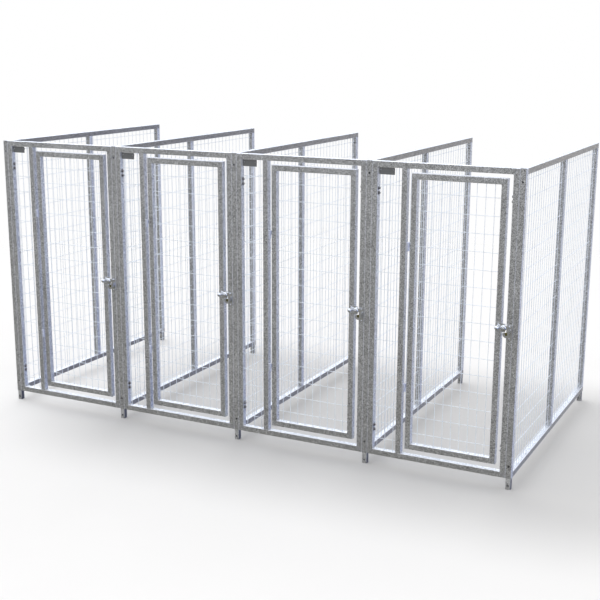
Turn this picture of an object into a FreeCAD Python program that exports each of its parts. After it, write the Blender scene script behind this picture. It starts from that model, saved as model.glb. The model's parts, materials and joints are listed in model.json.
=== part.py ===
import FreeCAD, Part
import os
import Sketcher

# A row of four open-topped kennel runs: five side panels, four front panels and four gates of square
# galvanised tube with welded wire mesh, standing on short legs, with a ball-ended latch on each gate.
# Frame: +X along the row, seen from the front with the gates hinged on the left, +Y into the runs, +Z up.
# Origin: on the floor, under the centre of the middle side panel's front upright.

os.makedirs("parts", exist_ok=True)
doc = FreeCAD.newDocument("KennelRow")
Vector = FreeCAD.Vector
Rotation = FreeCAD.Rotation

BAYS = 4
SIDES = BAYS + 1
MIDDLE_SIDE = BAYS / 2

# Driving dimensions, in millimetres

DRIVING = {
    "bayPitch": 889.0,           # between the centres of neighbouring side panels
    "runDepth": 1829.0,          # length of a side panel, front face to rear face
    "panelHeight": 1762.0,       # height of the panels, without the legs
    "footHeight": 67.0,          # floor to the underside of the panels
    "tubeSize": 35.0,            # outside of the square frame tube
    "tubeWall": 2.0,
    "tubeCorner": 3.0,           # outside corner radius of the frame tube
    "narrowWidth": 145.0,        # fixed mesh strip beside each gate
    "hingeGap": 24.0,            # between the mullion and the gate
    "latchGap": 29.0,            # between the gate and its closing post
    "gateTopGap": 23.0,
    "gateBottomGap": 36.0,
    "wireSize": 3.5,
    "wireBite": 0.6,             # how far crossing wires sink into each other at the weld
    "meshPitch": 50.8,           # between upright wires
    "meshRise": 101.6,           # between level wires
    "sideMargin": 24.6,          # opening edge to the first upright wire, side panels
    "narrowMargin": 21.7,
    "gateMargin": 37.3,
    "panelFirstWire": 33.2,      # opening bottom to the first level wire, side panels
    "narrowFirstWire": 68.2,
    "gateFirstWire": 64.6,
    "holeSize": 13.0,            # front-to-back holes in the side panels' uprights
    "holeFromEnd": 72.0,
    "boltHole": 8.5,             # holes for the bolts that join the panels
    "boltSpread": 14.0,          # each pair sits this far above and below a side panel's level wire
    "boltSize": 8.0,
    "boltHeadAcross": 13.0,      # hexagon head and nut, across the flats
    "boltHeadHeight": 5.3,
    "nutHeight": 6.8,
    "washerSize": 22.0,
    "washerThick": 1.6,
    "boltTail": 2.5,             # thread showing past the nut
    "legSize": 30.0,
    "legWall": 2.0,
    "legCorner": 2.5,
    "legLength": 282.0,
    "legHoleBelow": 45.0,        # exposed leg hole, below the underside of the panels
    "barrelRadius": 10.5,
    "hingePinRadius": 5.0,
    "hingeClearance": 0.05,
    "hingeAxisFront": 3.0,       # hinge axis, in front of the panels' front face
    "knuckleHeight": 23.5,
    "knuckleGap": 1.0,
    "leafThick": 4.0,
    "leafDepth": 30.0,
    "pinHeadRadius": 7.5,
    "pinHeadHeight": 3.0,
    "pinHeadGap": 0.4,
    "lowHingeHeight": 449.0,     # middle of each hinge, above the underside of the panels
    "highHingeHeight": 1284.0,
    "latchHeight": 879.0,        # latch pivot, above the underside of the panels
    "latchPlateThick": 3.0,
    "latchPlateTall": 48.0,
    "latchPlateLeft": 47.0,      # from the pivot towards the gate
    "latchPlateRight": 9.5,
    "hubRadius": 18.0,
    "hubBack": 3.6,              # back of the lever's hub, in front of the gate's face
    "hubRim": 10.0,
    "hubFront": 20.0,
    "pivotRadius": 4.0,
    "pivotClearance": 0.05,
    "pivotHeadRadius": 7.0,
    "pivotHeadHeight": 3.0,
    "pivotHeadGap": 0.4,
    "pivotTail": 2.0,
    "barBack": 8.0,
    "barFront": 14.0,
    "barHalf": 6.5,
    "tongueReach": 28.0,         # pivot to the centre of the tongue's round end
    "tongueRise": 8.0,
    "knobReach": 34.0,
    "knobFront": 22.0,
    "knobRadius": 13.0,
    "keeperLeft": 17.0,          # keeper plate edges, from the latch pivot
    "keeperRight": 49.0,
    "keeperTop": 16.0,
    "keeperBottom": 68.0,
    "keeperRivetHigh": 8.0,      # above the pivot
    "keeperRivetLow": 60.0,      # below the pivot
    "latchRivetRise": 17.0,      # above and below the pivot
    "hookCentre": 20.0,          # centre of the hook's round bottom, beside and below the pivot
    "hookDrop": 33.0,
    "hookOuter": 19.5,
    "hookInner": 16.5,
    "hookLipInner": 6.5,
    "hookLipThick": 3.0,
    "hookBackThick": 3.0,
    "hookFront": 20.0,
    "hookRightTop": 10.0,        # below the pivot
    "hookLeftTop": 26.0,
    "rivetShank": 2.4,           # radius
    "rivetHead": 4.6,            # radius
    "rivetHeadHeight": 2.5,
    "rivetGrip": 2.0,
    "plateWidth": 96.0,          # blank identity plate
    "plateTall": 40.0,
    "plateThick": 1.5,
    "plateEdgeGap": 2.0,
    "plateScrewInset": 10.0,
    "plateScrewDrop": 14.0,
    "plateScrewRadius": 2.0,
    "plateScrewHead": 4.2,
    "plateScrewHeadHeight": 2.2,
    "plateWasherRadius": 7.0,
}

sheet = doc.addObject("Spreadsheet::Sheet", "Sizes")
for row, (alias, value) in enumerate(DRIVING.items(), start=1):
    sheet.set(f"A{row}", alias)
    sheet.set(f"B{row}", str(value))
    sheet.setAlias(f"B{row}", alias)
workings = doc.addObject("Spreadsheet::Sheet", "Workings")
doc.recompute()


def named(formula):
    """Put the sheet's name before each of its aliases in a formula."""
    for alias in sorted(DRIVING, key=len, reverse=True):
        formula = formula.replace("@" + alias, "Sizes." + alias)
    return formula


# Lengths that follow from the driving dimensions. Each formula marks the sheet's aliases with @.
FRONT_WIDTH = "(@bayPitch - @tubeSize)"
PANEL_OPENING_HEIGHT = "(@panelHeight - 2 * @tubeSize)"
SIDE_OPENING = "((@runDepth - 3 * @tubeSize) / 2)"
MULLION_LEFT = "(@tubeSize + @narrowWidth)"
HINGE_AXIS = f"({MULLION_LEFT} + @tubeSize + @hingeGap / 2)"
GATE_LEFT = f"({MULLION_LEFT} + @tubeSize + @hingeGap)"
GATE_WIDTH = f"({FRONT_WIDTH} - {GATE_LEFT} - @latchGap - @tubeSize)"
GATE_BOTTOM = "(@tubeSize + @gateBottomGap)"
GATE_HEIGHT = f"(@panelHeight - @tubeSize - @gateTopGap - {GATE_BOTTOM})"
LATCH_PIVOT = f"({GATE_LEFT} + {GATE_WIDTH} + @latchGap / 2)"
FRONT_FACE = "(-@tubeSize / 2)"
LEVEL_WIRES_APART = 14
LOW_BOLTS = "(@tubeSize + @panelFirstWire + @meshRise)"
HIGH_BOLTS = f"({LOW_BOLTS} + {LEVEL_WIRES_APART} * @meshRise)"


nodes = []


# Helpers

def size(formula):
    """The present value of a formula, in millimetres, worked out in a cell of its own sheet."""
    workings.set("A1", "=" + named(str(formula)))
    workings.recompute()
    return float(workings.get("A1"))


def origin_part(body, role):
    """The body's own origin plane or axis with this role."""
    return next(item for item in body.Origin.OriginFeatures if item.Role == role)


def bind(item, **formulas):
    """Bind properties of an object to formulas; x, y and z are its position."""
    for name, formula in formulas.items():
        path = f"Placement.Base.{name}" if name in ("x", "y", "z") else name
        item.setExpression(path, named(str(formula)))


def new_body(label):
    body = doc.addObject("PartDesign::Body", label)
    body.Label = label
    return body


def new_sketch(body, role, offset=0):
    """A sketch on one of the body's origin planes, moved along the plane's normal by offset."""
    sketch = body.newObject("Sketcher::SketchObject", body.Label + "_sketch")
    sketch.AttachmentSupport = [(origin_part(body, role), "")]
    sketch.MapMode = "FlatFace"
    sketch.setExpression("AttachmentOffset.Base.z", named(str(offset)))
    return sketch


def fix_point(sketch, geometry, end, across, up):
    """Dimension one point from the sketch's origin."""
    for kind, formula in (("DistanceX", across), ("DistanceY", up)):
        place = size(formula)
        index = sketch.addConstraint(Sketcher.Constraint(kind, -1, 1, geometry, end, place))
        sketch.setExpression(f"Constraints[{index}]", named(str(formula)))


def polygon(sketch, corners):
    """A closed outline whose corners are pairs of formulas."""
    points = [Vector(size(across), size(up), 0) for across, up in corners]
    count = len(points)
    lines = [sketch.addGeometry(Part.LineSegment(points[k], points[(k + 1) % count])) for k in range(count)]
    for k, (across, up) in enumerate(corners):
        sketch.addConstraint(Sketcher.Constraint("Coincident", lines[k - 1], 2, lines[k], 1))
        fix_point(sketch, lines[k], 1, across, up)


def rectangle(sketch, left, bottom, right, top):
    polygon(sketch, [(left, bottom), (right, bottom), (right, top), (left, top)])


def circle(sketch, across, up, radius):
    middle = Vector(size(across), size(up), 0)
    ring = sketch.addGeometry(Part.Circle(middle, Vector(0, 0, 1), size(radius)))
    index = sketch.addConstraint(Sketcher.Constraint("Radius", ring, size(radius)))
    sketch.setExpression(f"Constraints[{index}]", named(str(radius)))
    fix_point(sketch, ring, 3, across, up)


def hexagon_corners(across_flats):
    """Corners of a hexagon with two of its flats upright."""
    half = f"({across_flats} / 2)"
    low = f"({across_flats} / (2 * sqrt(3)))"
    high = f"({across_flats} / sqrt(3))"
    return [(half, low), (0, high), (f"-{half}", low),
            (f"-{half}", f"-{low}"), (0, f"-{high}"), (half, f"-{low}")]


def pad(body, sketch, length):
    """Raise a sketch along its plane's normal."""
    feature = body.newObject("PartDesign::Pad", body.Label + "_pad")
    feature.Profile = sketch
    bind(feature, Length=length)
    doc.recompute()
    return feature


def pocket(body, sketch, way="both"):
    """Cut right through: both ways, or only ahead of or behind the sketch's plane."""
    before = body.Shape.Volume
    feature = body.newObject("PartDesign::Pocket", body.Label + "_pocket")
    feature.Profile = sketch
    feature.Type = "ThroughAll"
    feature.SideType = "Symmetric" if way == "both" else "One side"
    feature.Reversed = way == "ahead"
    doc.recompute()
    assert body.Shape.Volume < before - 1.0, f"{body.Label}: a pocket cut nothing"


def pattern(body, runs):
    """Repeat a whole body along its own axes: each run is (axis role, count, pitch formula)."""
    for role, count, pitch in runs:
        repeat = body.newObject("PartDesign::LinearPattern", body.Label + "_pattern")
        repeat.TransformMode = "Whole shape"
        repeat.Direction = (origin_part(body, role), [""])
        repeat.Mode = "Spacing"
        repeat.Occurrences = count
        bind(repeat, Offset=pitch)
        body.Tip = repeat
        doc.recompute()


def node(label, pieces, x=0, y=0, z=0, turn=0):
    """One named sub-part, made of its pieces and set in its place; turn is about +Z, in degrees."""
    item = doc.addObject("Part::Compound", label)
    item.Label = label
    item.Links = pieces
    item.Placement = FreeCAD.Placement(Vector(), Rotation(Vector(0, 0, 1), turn))
    bind(item, x=x, y=y, z=z)
    nodes.append(item)


# Square tubes and frames

def square_tube(label, length, across="@tubeSize", wall="@tubeWall", corner="@tubeCorner"):
    """A square tube standing on the XY plane, round at its outside corners."""
    body = new_body(label)
    section = new_sketch(body, "XY_Plane")
    outside = f"({across} / 2)"
    inside = f"({across} / 2 - {wall})"
    rectangle(section, f"-{outside}", f"-{outside}", outside, outside)
    rectangle(section, f"-{inside}", f"-{inside}", inside, inside)
    tube = pad(body, section, length)
    reach = size(outside) * 1.9
    corners = [f"Edge{k}" for k, edge in enumerate(tube.Shape.Edges, start=1)
               if edge.Length > size(across) * 1.5
               and abs(edge.Vertexes[0].X) + abs(edge.Vertexes[0].Y) > reach]
    rounding = body.newObject("PartDesign::Fillet", label + "_corners")
    rounding.Base = (tube, corners)
    bind(rounding, Radius=corner)
    doc.recompute()
    return body


def mitre(body, length, start=False):
    """Cut one end of a tube at 45 degrees, its long side at -X."""
    cut = new_sketch(body, "XZ_Plane")
    tip = "(-@tubeSize)" if start else f"({length} + @tubeSize)"
    deep = "(2 * @tubeSize)" if start else f"({length} - 2 * @tubeSize)"
    polygon(cut, [("(-1.5 * @tubeSize)", tip), ("(1.5 * @tubeSize)", tip), ("(1.5 * @tubeSize)", deep)])
    pocket(body, cut)


def bore(body, plane, height, diameter, way="both"):
    """A round hole square to the tube, at a height along it."""
    cut = new_sketch(body, plane)
    circle(cut, 0, height, f"({diameter} / 2)")
    pocket(body, cut, way)


def stand(body, x, z, turn=0):
    """Place an upright in its frame's own XZ plane, its mitres' short side turned about Z."""
    body.Placement = FreeCAD.Placement(Vector(), Rotation(Vector(0, 0, 1), turn))
    bind(body, x=x, z=z)


def lay(body, x, z, inner_down):
    """Lay a rail along X with its mitres' short side down or up."""
    quarter = 90 if inner_down else -90
    body.Placement = FreeCAD.Placement(Vector(), Rotation(Vector(0, 1, 0), quarter))
    bind(body, x=x, z=z)


def frame_tubes(prefix, width, height, closed_bottom=True):
    """Two uprights and two rails; an open-bottomed frame has full-length uprights to take legs."""
    half = "(@tubeSize / 2)"
    left = square_tube(prefix + "_left_upright", height)
    right = square_tube(prefix + "_right_upright", height)
    top = square_tube(prefix + "_top_rail", width)
    bottom_length = width if closed_bottom else f"({width} - 2 * @tubeSize)"
    bottom = square_tube(prefix + "_bottom_rail", bottom_length)
    for upright in (left, right):
        mitre(upright, height)
    for rail in (top, bottom) if closed_bottom else (top,):
        mitre(rail, width)
        mitre(rail, width, start=True)
    if closed_bottom:
        mitre(left, height, start=True)
        mitre(right, height, start=True)
    stand(left, half, 0)
    stand(right, f"({width} - {half})", 0, turn=180)
    lay(top, 0, f"({height} - {half})", inner_down=True)
    lay(bottom, width if closed_bottom else f"({width} - @tubeSize)", half, inner_down=False)
    return [left, right, top, bottom]


def inner_upright(prefix, x, height):
    """A plain upright between the rails of a frame."""
    upright = square_tube(prefix, f"({height} - 2 * @tubeSize)")
    stand(upright, x, "@tubeSize")
    return upright


# Welded wire mesh

def wires(label, plane, axis, length, count, pitch, across, up):
    """A row of equal round wires, raised from a plane and repeated along an axis."""
    body = new_body(label)
    section = new_sketch(body, plane)
    circle(section, across, up, "(@wireSize / 2)")
    pad(body, section, length)
    pattern(body, [(axis, count, pitch)])
    return body


def mesh(prefix, left, bottom, width, height, columns, rows, margin, first_wire):
    """Upright wires in front of level wires, filling one opening of a frame."""
    offset = "(@wireSize / 2 - @wireBite / 2)"
    upright = wires(prefix + "_upright_wires", "XY_Plane", "X_Axis", height, columns, "@meshPitch",
                    margin, f"-{offset}")
    level = wires(prefix + "_level_wires", "YZ_Plane", "Z_Axis", width, rows, "@meshRise",
                  offset, first_wire)
    for body in (upright, level):
        bind(body, x=left, z=bottom)
    return [upright, level]


# Side panels, front panels and gates


def bolt_holes(body, plane, way="both"):
    """Two pairs of bolt holes across an upright, one pair low and one high."""
    for level in (LOW_BOLTS, HIGH_BOLTS):
        for spread in ("+ @boltSpread", "- @boltSpread"):
            bore(body, plane, f"({level} {spread})", "@boltHole", way)


def end_holes(upright):
    """Holes from front to back near both ends of a side panel's upright."""
    for hole_height in ("@holeFromEnd", "(@panelHeight - @holeFromEnd)"):
        bore(upright, "YZ_Plane", hole_height, "@holeSize")


def side_front_upright(label, way):
    """The front upright of a side panel; the end panels are drilled through their inner wall only."""
    upright = square_tube(label, "@panelHeight")
    mitre(upright, "@panelHeight")
    end_holes(upright)
    bolt_holes(upright, "XZ_Plane", way)
    stand(upright, "(@tubeSize / 2)", 0)
    return upright


side_front, side_rear, side_top, side_bottom = frame_tubes("side", "@runDepth", "@panelHeight",
                                                           closed_bottom=False)
end_holes(side_front)
end_holes(side_rear)
bolt_holes(side_front, "XZ_Plane")
left_end_front = side_front_upright("left_end_front_upright", "ahead")
right_end_front = side_front_upright("right_end_front_upright", "behind")
side_tubes = [side_rear, side_top, side_bottom,
              inner_upright("side_middle_upright", f"(1.5 * @tubeSize + {SIDE_OPENING})", "@panelHeight")]

SIDE_COLUMNS = 17
SIDE_ROWS = 17
side_wires = []
for half, opening_left in (("front", "@tubeSize"), ("rear", f"(2 * @tubeSize + {SIDE_OPENING})")):
    side_wires += mesh(f"side_{half}", opening_left, "@tubeSize", SIDE_OPENING, PANEL_OPENING_HEIGHT,
                       SIDE_COLUMNS, SIDE_ROWS, "@sideMargin", "@panelFirstWire")

front_tubes = frame_tubes("front", FRONT_WIDTH, "@panelHeight")
for upright in front_tubes[:2]:
    bolt_holes(upright, "YZ_Plane")
for rivet_height in ("(@latchHeight + @keeperRivetHigh)", "(@latchHeight - @keeperRivetLow)"):
    bore(front_tubes[1], "XZ_Plane", rivet_height, "(2 * @rivetShank)", way="behind")
front_tubes.append(inner_upright("front_mullion", f"({MULLION_LEFT} + @tubeSize / 2)", "@panelHeight"))

NARROW_COLUMNS = 3
NARROW_ROWS = 16
front_wires = mesh("front", "@tubeSize", "@tubeSize", "@narrowWidth", PANEL_OPENING_HEIGHT,
                   NARROW_COLUMNS, NARROW_ROWS, "@narrowMargin", "@narrowFirstWire")

gate_tubes = frame_tubes("gate", GATE_WIDTH, GATE_HEIGHT)
for rivet_height in ("+ @latchRivetRise", "- @latchRivetRise"):
    bore(gate_tubes[1], "XZ_Plane", f"(@latchHeight - {GATE_BOTTOM} {rivet_height})", "(2 * @rivetShank)",
         way="behind")

GATE_COLUMNS = 9
GATE_ROWS = 15
gate_wires = mesh("gate", "@tubeSize", "@tubeSize", f"({GATE_WIDTH} - 2 * @tubeSize)",
                  f"({GATE_HEIGHT} - 2 * @tubeSize)", GATE_COLUMNS, GATE_ROWS, "@gateMargin", "@gateFirstWire")

# Lift-off hinges

HINGE_RISE = "(@highHingeHeight - @lowHingeHeight)"
FIRST_BAY = f"(-1 * @bayPitch * {MIDDLE_SIDE} + @tubeSize / 2)"
FIRST_SIDE = f"(-1 * @bayPitch * {MIDDLE_SIDE})"


def hinge_knuckle(label, side, bottom, bore_radius, runs):
    """A barrel and the leaf that is welded to the side of a tube: side is -1 for left, 1 for right."""
    body = new_body(label)
    barrel = new_sketch(body, "XY_Plane", bottom)
    circle(barrel, 0, 0, "@barrelRadius")
    pad(body, barrel, "@knuckleHeight")
    leaf = new_sketch(body, "XY_Plane", bottom)
    far = f"({side} * @hingeGap / 2)"
    near = f"({side} * (@hingeGap / 2 - @leafThick))"
    left, right = (far, near) if side < 0 else (near, far)
    rectangle(leaf, left, 0, right, "@leafDepth")
    pad(body, leaf, "@knuckleHeight")
    hole = new_sketch(body, "XY_Plane", bottom)
    circle(hole, 0, 0, bore_radius)
    pocket(body, hole)
    pattern(body, runs)
    return body


HINGE_HEIGHTS = ("Z_Axis", 2, HINGE_RISE)
ALL_BAYS = ("X_Axis", BAYS, "@bayPitch")
frame_knuckles = hinge_knuckle("frame_knuckle", -1, "(-@knuckleGap / 2 - @knuckleHeight)", "@hingePinRadius",
                               [ALL_BAYS, HINGE_HEIGHTS])
gate_knuckles = hinge_knuckle("gate_knuckle", 1, "(@knuckleGap / 2)", "(@hingePinRadius + @hingeClearance)",
                              [HINGE_HEIGHTS])

hinge_pin = new_body("hinge_pin")
pin_shank = new_sketch(hinge_pin, "XY_Plane", "(-@knuckleGap / 2 - @knuckleHeight)")
circle(pin_shank, 0, 0, "@hingePinRadius")
pad(hinge_pin, pin_shank, "(2 * @knuckleHeight + @knuckleGap + @pinHeadGap)")
pin_head = new_sketch(hinge_pin, "XY_Plane", "(@knuckleGap / 2 + @knuckleHeight + @pinHeadGap)")
circle(pin_head, 0, 0, "@pinHeadRadius")
pad(hinge_pin, pin_head, "@pinHeadHeight")
pattern(hinge_pin, [ALL_BAYS, HINGE_HEIGHTS])

# Latches. Each origin is the pivot, at the front face of the gate.
# Sketches on the XZ plane are offset and padded towards the front.

latch_plate = new_body("latch_plate_piece")
outline = new_sketch(latch_plate, "XZ_Plane")
rectangle(outline, "-@latchPlateLeft", "(-@latchPlateTall / 2)", "@latchPlateRight", "(@latchPlateTall / 2)")
circle(outline, 0, 0, "@pivotRadius")
RIVET_COLUMN = "(-@latchGap / 2 - @tubeSize / 2)"
for rivet_rise in ("@latchRivetRise", "-@latchRivetRise"):
    circle(outline, RIVET_COLUMN, rivet_rise, "@rivetShank")
pad(latch_plate, outline, "@latchPlateThick")

pivot = new_body("pivot_piece")
for start, length, radius in (("-@pivotTail", "@pivotTail", "@pivotHeadRadius"),
                              (0, "(@hubFront + @pivotHeadGap)", "@pivotRadius"),
                              ("(@hubFront + @pivotHeadGap)", "@pivotHeadHeight", "@pivotHeadRadius")):
    step = new_sketch(pivot, "XZ_Plane", start)
    circle(step, 0, 0, radius)
    pad(pivot, step, length)

lever = new_body("lever_piece")
hub = new_sketch(lever, "XZ_Plane", "@hubBack")
circle(hub, 0, 0, "@hubRadius")
hub_pad = pad(lever, hub, "(@hubFront - @hubBack)")
hub_front = [f"Edge{k}" for k, edge in enumerate(hub_pad.Shape.Edges, start=1)
             if edge.BoundBox.YMax < -size("@hubBack") - 1.0]
dome = lever.newObject("PartDesign::Fillet", "hub_dome")
dome.Base = (hub_pad, hub_front)
bind(dome, Radius="(@hubFront - @hubRim)")
doc.recompute()
bar = new_sketch(lever, "XZ_Plane", "@barBack")
polygon(bar, [("-@knobReach", "-@barHalf"), (0, "-@barHalf"), ("@tongueReach", "(@tongueRise - @barHalf)"),
              ("@tongueReach", "(@tongueRise + @barHalf)"), (0, "(@tongueRise + @barHalf)"),
              ("-@knobReach", "@barHalf")])
pad(lever, bar, "(@barFront - @barBack)")
tongue_end = new_sketch(lever, "XZ_Plane", "@barBack")
circle(tongue_end, "@tongueReach", "@tongueRise", "@barHalf")
pad(lever, tongue_end, "(@barFront - @barBack)")
knob = lever.newObject("PartDesign::AdditiveSphere", "knob")
bind(knob, Radius="@knobRadius")
knob.AttachmentSupport = [(origin_part(lever, "XY_Plane"), "")]
knob.MapMode = "FlatFace"
knob.setExpression("AttachmentOffset.Base.x", named("-@knobReach"))
knob.setExpression("AttachmentOffset.Base.y", named("-@knobFront"))
doc.recompute()
pivot_hole = new_sketch(lever, "XZ_Plane")
circle(pivot_hole, 0, 0, "(@pivotRadius + @pivotClearance)")
pocket(lever, pivot_hole)

keeper = new_body("keeper_piece")
keeper_plate = new_sketch(keeper, "XZ_Plane")
rectangle(keeper_plate, "@keeperLeft", "-@keeperBottom", "@keeperRight", "@keeperTop")
KEEPER_COLUMN = "(@latchGap / 2 + @tubeSize / 2)"
KEEPER_RIVETS = ("@keeperRivetHigh", "-@keeperRivetLow")
for rivet_rise in KEEPER_RIVETS:
    circle(keeper_plate, KEEPER_COLUMN, rivet_rise, "@rivetShank")
pad(keeper, keeper_plate, "@latchPlateThick")
ring_layers = (("@latchPlateThick", "(@hookFront - @latchPlateThick)", "@hookInner"),
               ("(@hookFront - @hookLipThick)", "@hookLipThick", "@hookLipInner"))
back = new_sketch(keeper, "XZ_Plane", "@latchPlateThick")
circle(back, "@hookCentre", "-@hookDrop", "@hookOuter")
pad(keeper, back, "@hookBackThick")
for start, length, inner in ring_layers:
    bend = new_sketch(keeper, "XZ_Plane", start)
    circle(bend, "@hookCentre", "-@hookDrop", "@hookOuter")
    circle(bend, "@hookCentre", "-@hookDrop", inner)
    pad(keeper, bend, length)
above = new_sketch(keeper, "XZ_Plane", "@latchPlateThick")
rectangle(above, "(@hookCentre - 2 * @hookOuter)", "-@hookDrop", "(@hookCentre + 2 * @hookOuter)", "@keeperTop")
pocket(keeper, above, way="ahead")
HOOK_LEFT = "(@hookCentre - @hookOuter)"
HOOK_RIGHT = "(@hookCentre + @hookOuter)"
back_top = new_sketch(keeper, "XZ_Plane", "@latchPlateThick")
rectangle(back_top, HOOK_LEFT, "-@hookDrop", HOOK_RIGHT, "-@hookLeftTop")
pad(keeper, back_top, "@hookBackThick")
for start, length, inner in ring_layers:
    walls = new_sketch(keeper, "XZ_Plane", start)
    rectangle(walls, f"(@hookCentre + {inner})", "-@hookDrop", HOOK_RIGHT, "-@hookRightTop")
    rectangle(walls, HOOK_LEFT, "-@hookDrop", f"(@hookCentre - {inner})", "-@hookLeftTop")
    pad(keeper, walls, length)


def rivets(label, column, heights, runs=()):
    """Round-headed rivets that pin a latch plate to the tube behind it."""
    body = new_body(label)
    for start, length, radius in (("-@rivetGrip", "(@rivetGrip + @latchPlateThick)", "@rivetShank"),
                                  ("@latchPlateThick", "@rivetHeadHeight", "@rivetHead")):
        step = new_sketch(body, "XZ_Plane", start)
        for height in heights:
            circle(step, column, height, radius)
        pad(body, step, length)
    pattern(body, runs)
    return body


latch_rivets = rivets("latch_rivets_piece", RIVET_COLUMN, ("@latchRivetRise", "-@latchRivetRise"))
keeper_rivets = rivets("keeper_rivets_piece", KEEPER_COLUMN, KEEPER_RIVETS, [ALL_BAYS])

# Bolts that join the panels, along X. The end panels' nuts sit inside their front uprights:
# low down inside the leg, high up on the tube's own wall.


def bolt_set(label, start, grip, runs, blind=False, turn=0, z=LOW_BOLTS):
    """Pairs of bolts through tubes that begin at start and are grip thick; a blind end has no washer."""
    end = f"({start} + {grip})"
    nut_start = end if blind else f"({end} + @washerThick)"
    bolt = new_body(label + "_bolt")
    nut = new_body(label + "_nut")
    washer = new_body(label + "_washer")
    head = new_sketch(bolt, "YZ_Plane", f"({start} - @washerThick - @boltHeadHeight)")
    polygon(head, hexagon_corners("@boltHeadAcross"))
    pad(bolt, head, "@boltHeadHeight")
    shank = new_sketch(bolt, "YZ_Plane", f"({start} - @washerThick)")
    circle(shank, 0, 0, "(@boltSize / 2)")
    pad(bolt, shank, f"({nut_start} - {start} + @washerThick + @nutHeight + @boltTail)")
    ring = new_sketch(nut, "YZ_Plane", nut_start)
    polygon(ring, hexagon_corners("@boltHeadAcross"))
    circle(ring, 0, 0, "(@boltSize / 2)")
    pad(nut, ring, "@nutHeight")
    for side in (f"({start} - @washerThick)",) if blind else (f"({start} - @washerThick)", end):
        disc = new_sketch(washer, "YZ_Plane", side)
        circle(disc, 0, 0, "(@washerSize / 2)")
        circle(disc, 0, 0, "(@boltHole / 2)")
        pad(washer, disc, "@washerThick")
    for body in (bolt, nut, washer):
        pattern(body, runs)
        body.Placement = FreeCAD.Placement(Vector(), Rotation(Vector(0, 0, 1), turn))
        bind(body, z=f"({z} - @boltSpread)")
    return bolt, nut, washer


PAIR = ("Z_Axis", 2, "(2 * @boltSpread)")
BOTH_LEVELS = ("Z_Axis", 2, f"({HIGH_BOLTS} - {LOW_BOLTS})")
INNER_JOINTS = ("X_Axis", BAYS - 1, "@bayPitch")
bolt_sets = [bolt_set("inner", f"({FIRST_SIDE} + @bayPitch - 1.5 * @tubeSize)", "(3 * @tubeSize)",
                      [INNER_JOINTS, PAIR, BOTH_LEVELS])]
LAST_UPRIGHT = f"(-{FIRST_SIDE} - 1.5 * @tubeSize)"
THROUGH_LEG = "(1.5 * @tubeSize - @legSize / 2 + @legWall)"
THROUGH_WALL = "(@tubeSize + @tubeWall)"
for name, grip, level in (("low", THROUGH_LEG, LOW_BOLTS), ("high", THROUGH_WALL, HIGH_BOLTS)):
    for end_name, turn in (("right", 0), ("left", 180)):
        bolt_sets.append(bolt_set(f"{end_name}_{name}", LAST_UPRIGHT, grip, [PAIR],
                                  blind=True, turn=turn, z=level))

# Legs and blank identity plates

leg = square_tube("leg", "@legLength", "@legSize", "@legWall", "@legCorner")
for spread in ("+ @boltSpread", "- @boltSpread"):
    bore(leg, "YZ_Plane", f"(@footHeight + {LOW_BOLTS} {spread})", "@boltHole")
bore(leg, "XZ_Plane", "(@footHeight - @legHoleBelow)", "@holeSize")
bore(leg, "XZ_Plane", "(@footHeight + @holeFromEnd)", "@holeSize")
pattern(leg, [("X_Axis", SIDES, "@bayPitch"), ("Y_Axis", 2, "(@runDepth - @tubeSize)")])

PLATE_LEFT = "(@tubeSize + @plateEdgeGap)"
PLATE_TOP = "(@panelHeight - @tubeSize - @plateEdgeGap)"
PLATE_BACK = "(@wireSize - @wireBite / 2)"
SCREW_HEIGHT = f"({PLATE_TOP} - @plateScrewDrop)"
SCREW_COLUMNS = (f"({PLATE_LEFT} + @plateScrewInset)", f"({PLATE_LEFT} + @plateWidth - @plateScrewInset)")

identity_plate = new_body("identity_plate_piece")
face = new_sketch(identity_plate, "XZ_Plane", PLATE_BACK)
rectangle(face, PLATE_LEFT, f"({PLATE_TOP} - @plateTall)", f"({PLATE_LEFT} + @plateWidth)", PLATE_TOP)
for column in SCREW_COLUMNS:
    circle(face, column, SCREW_HEIGHT, "@plateScrewRadius")
pad(identity_plate, face, "@plateThick")
pattern(identity_plate, [ALL_BAYS])


def screw_layers(label, layers):
    """Round layers, each (start, length, radius, hole radius), on both plate screws of every bay."""
    body = new_body(label)
    for start, length, radius, hole in layers:
        layer = new_sketch(body, "XZ_Plane", start)
        for column in SCREW_COLUMNS:
            circle(layer, column, SCREW_HEIGHT, radius)
            if hole:
                circle(layer, column, SCREW_HEIGHT, hole)
        pad(body, layer, length)
    pattern(body, [ALL_BAYS])
    return body


plate_screws = screw_layers("plate_screws_piece", (
    (f"(-{PLATE_BACK} - @plateThick)", f"(2 * {PLATE_BACK} + 2 * @plateThick)", "@plateScrewRadius", None),
    (f"({PLATE_BACK} + @plateThick)", "@plateScrewHeadHeight", "@plateScrewHead", None),
))
plate_washers = screw_layers("plate_washers_piece", (
    (f"(-{PLATE_BACK} - @plateThick)", "@plateThick", "@plateWasherRadius", "@plateScrewRadius"),
))

# The named sub-parts, in their places

for k in range(SIDES):
    place = {"x": f"({FIRST_SIDE} + {k} * @bayPitch)", "y": FRONT_FACE, "z": "@footHeight", "turn": 90}
    front_upright = {0: left_end_front, SIDES - 1: right_end_front}.get(k, side_front)
    node(f"side_frame_{k + 1}", [front_upright, *side_tubes], **place)
    node(f"side_mesh_{k + 1}", side_wires, **place)

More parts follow.
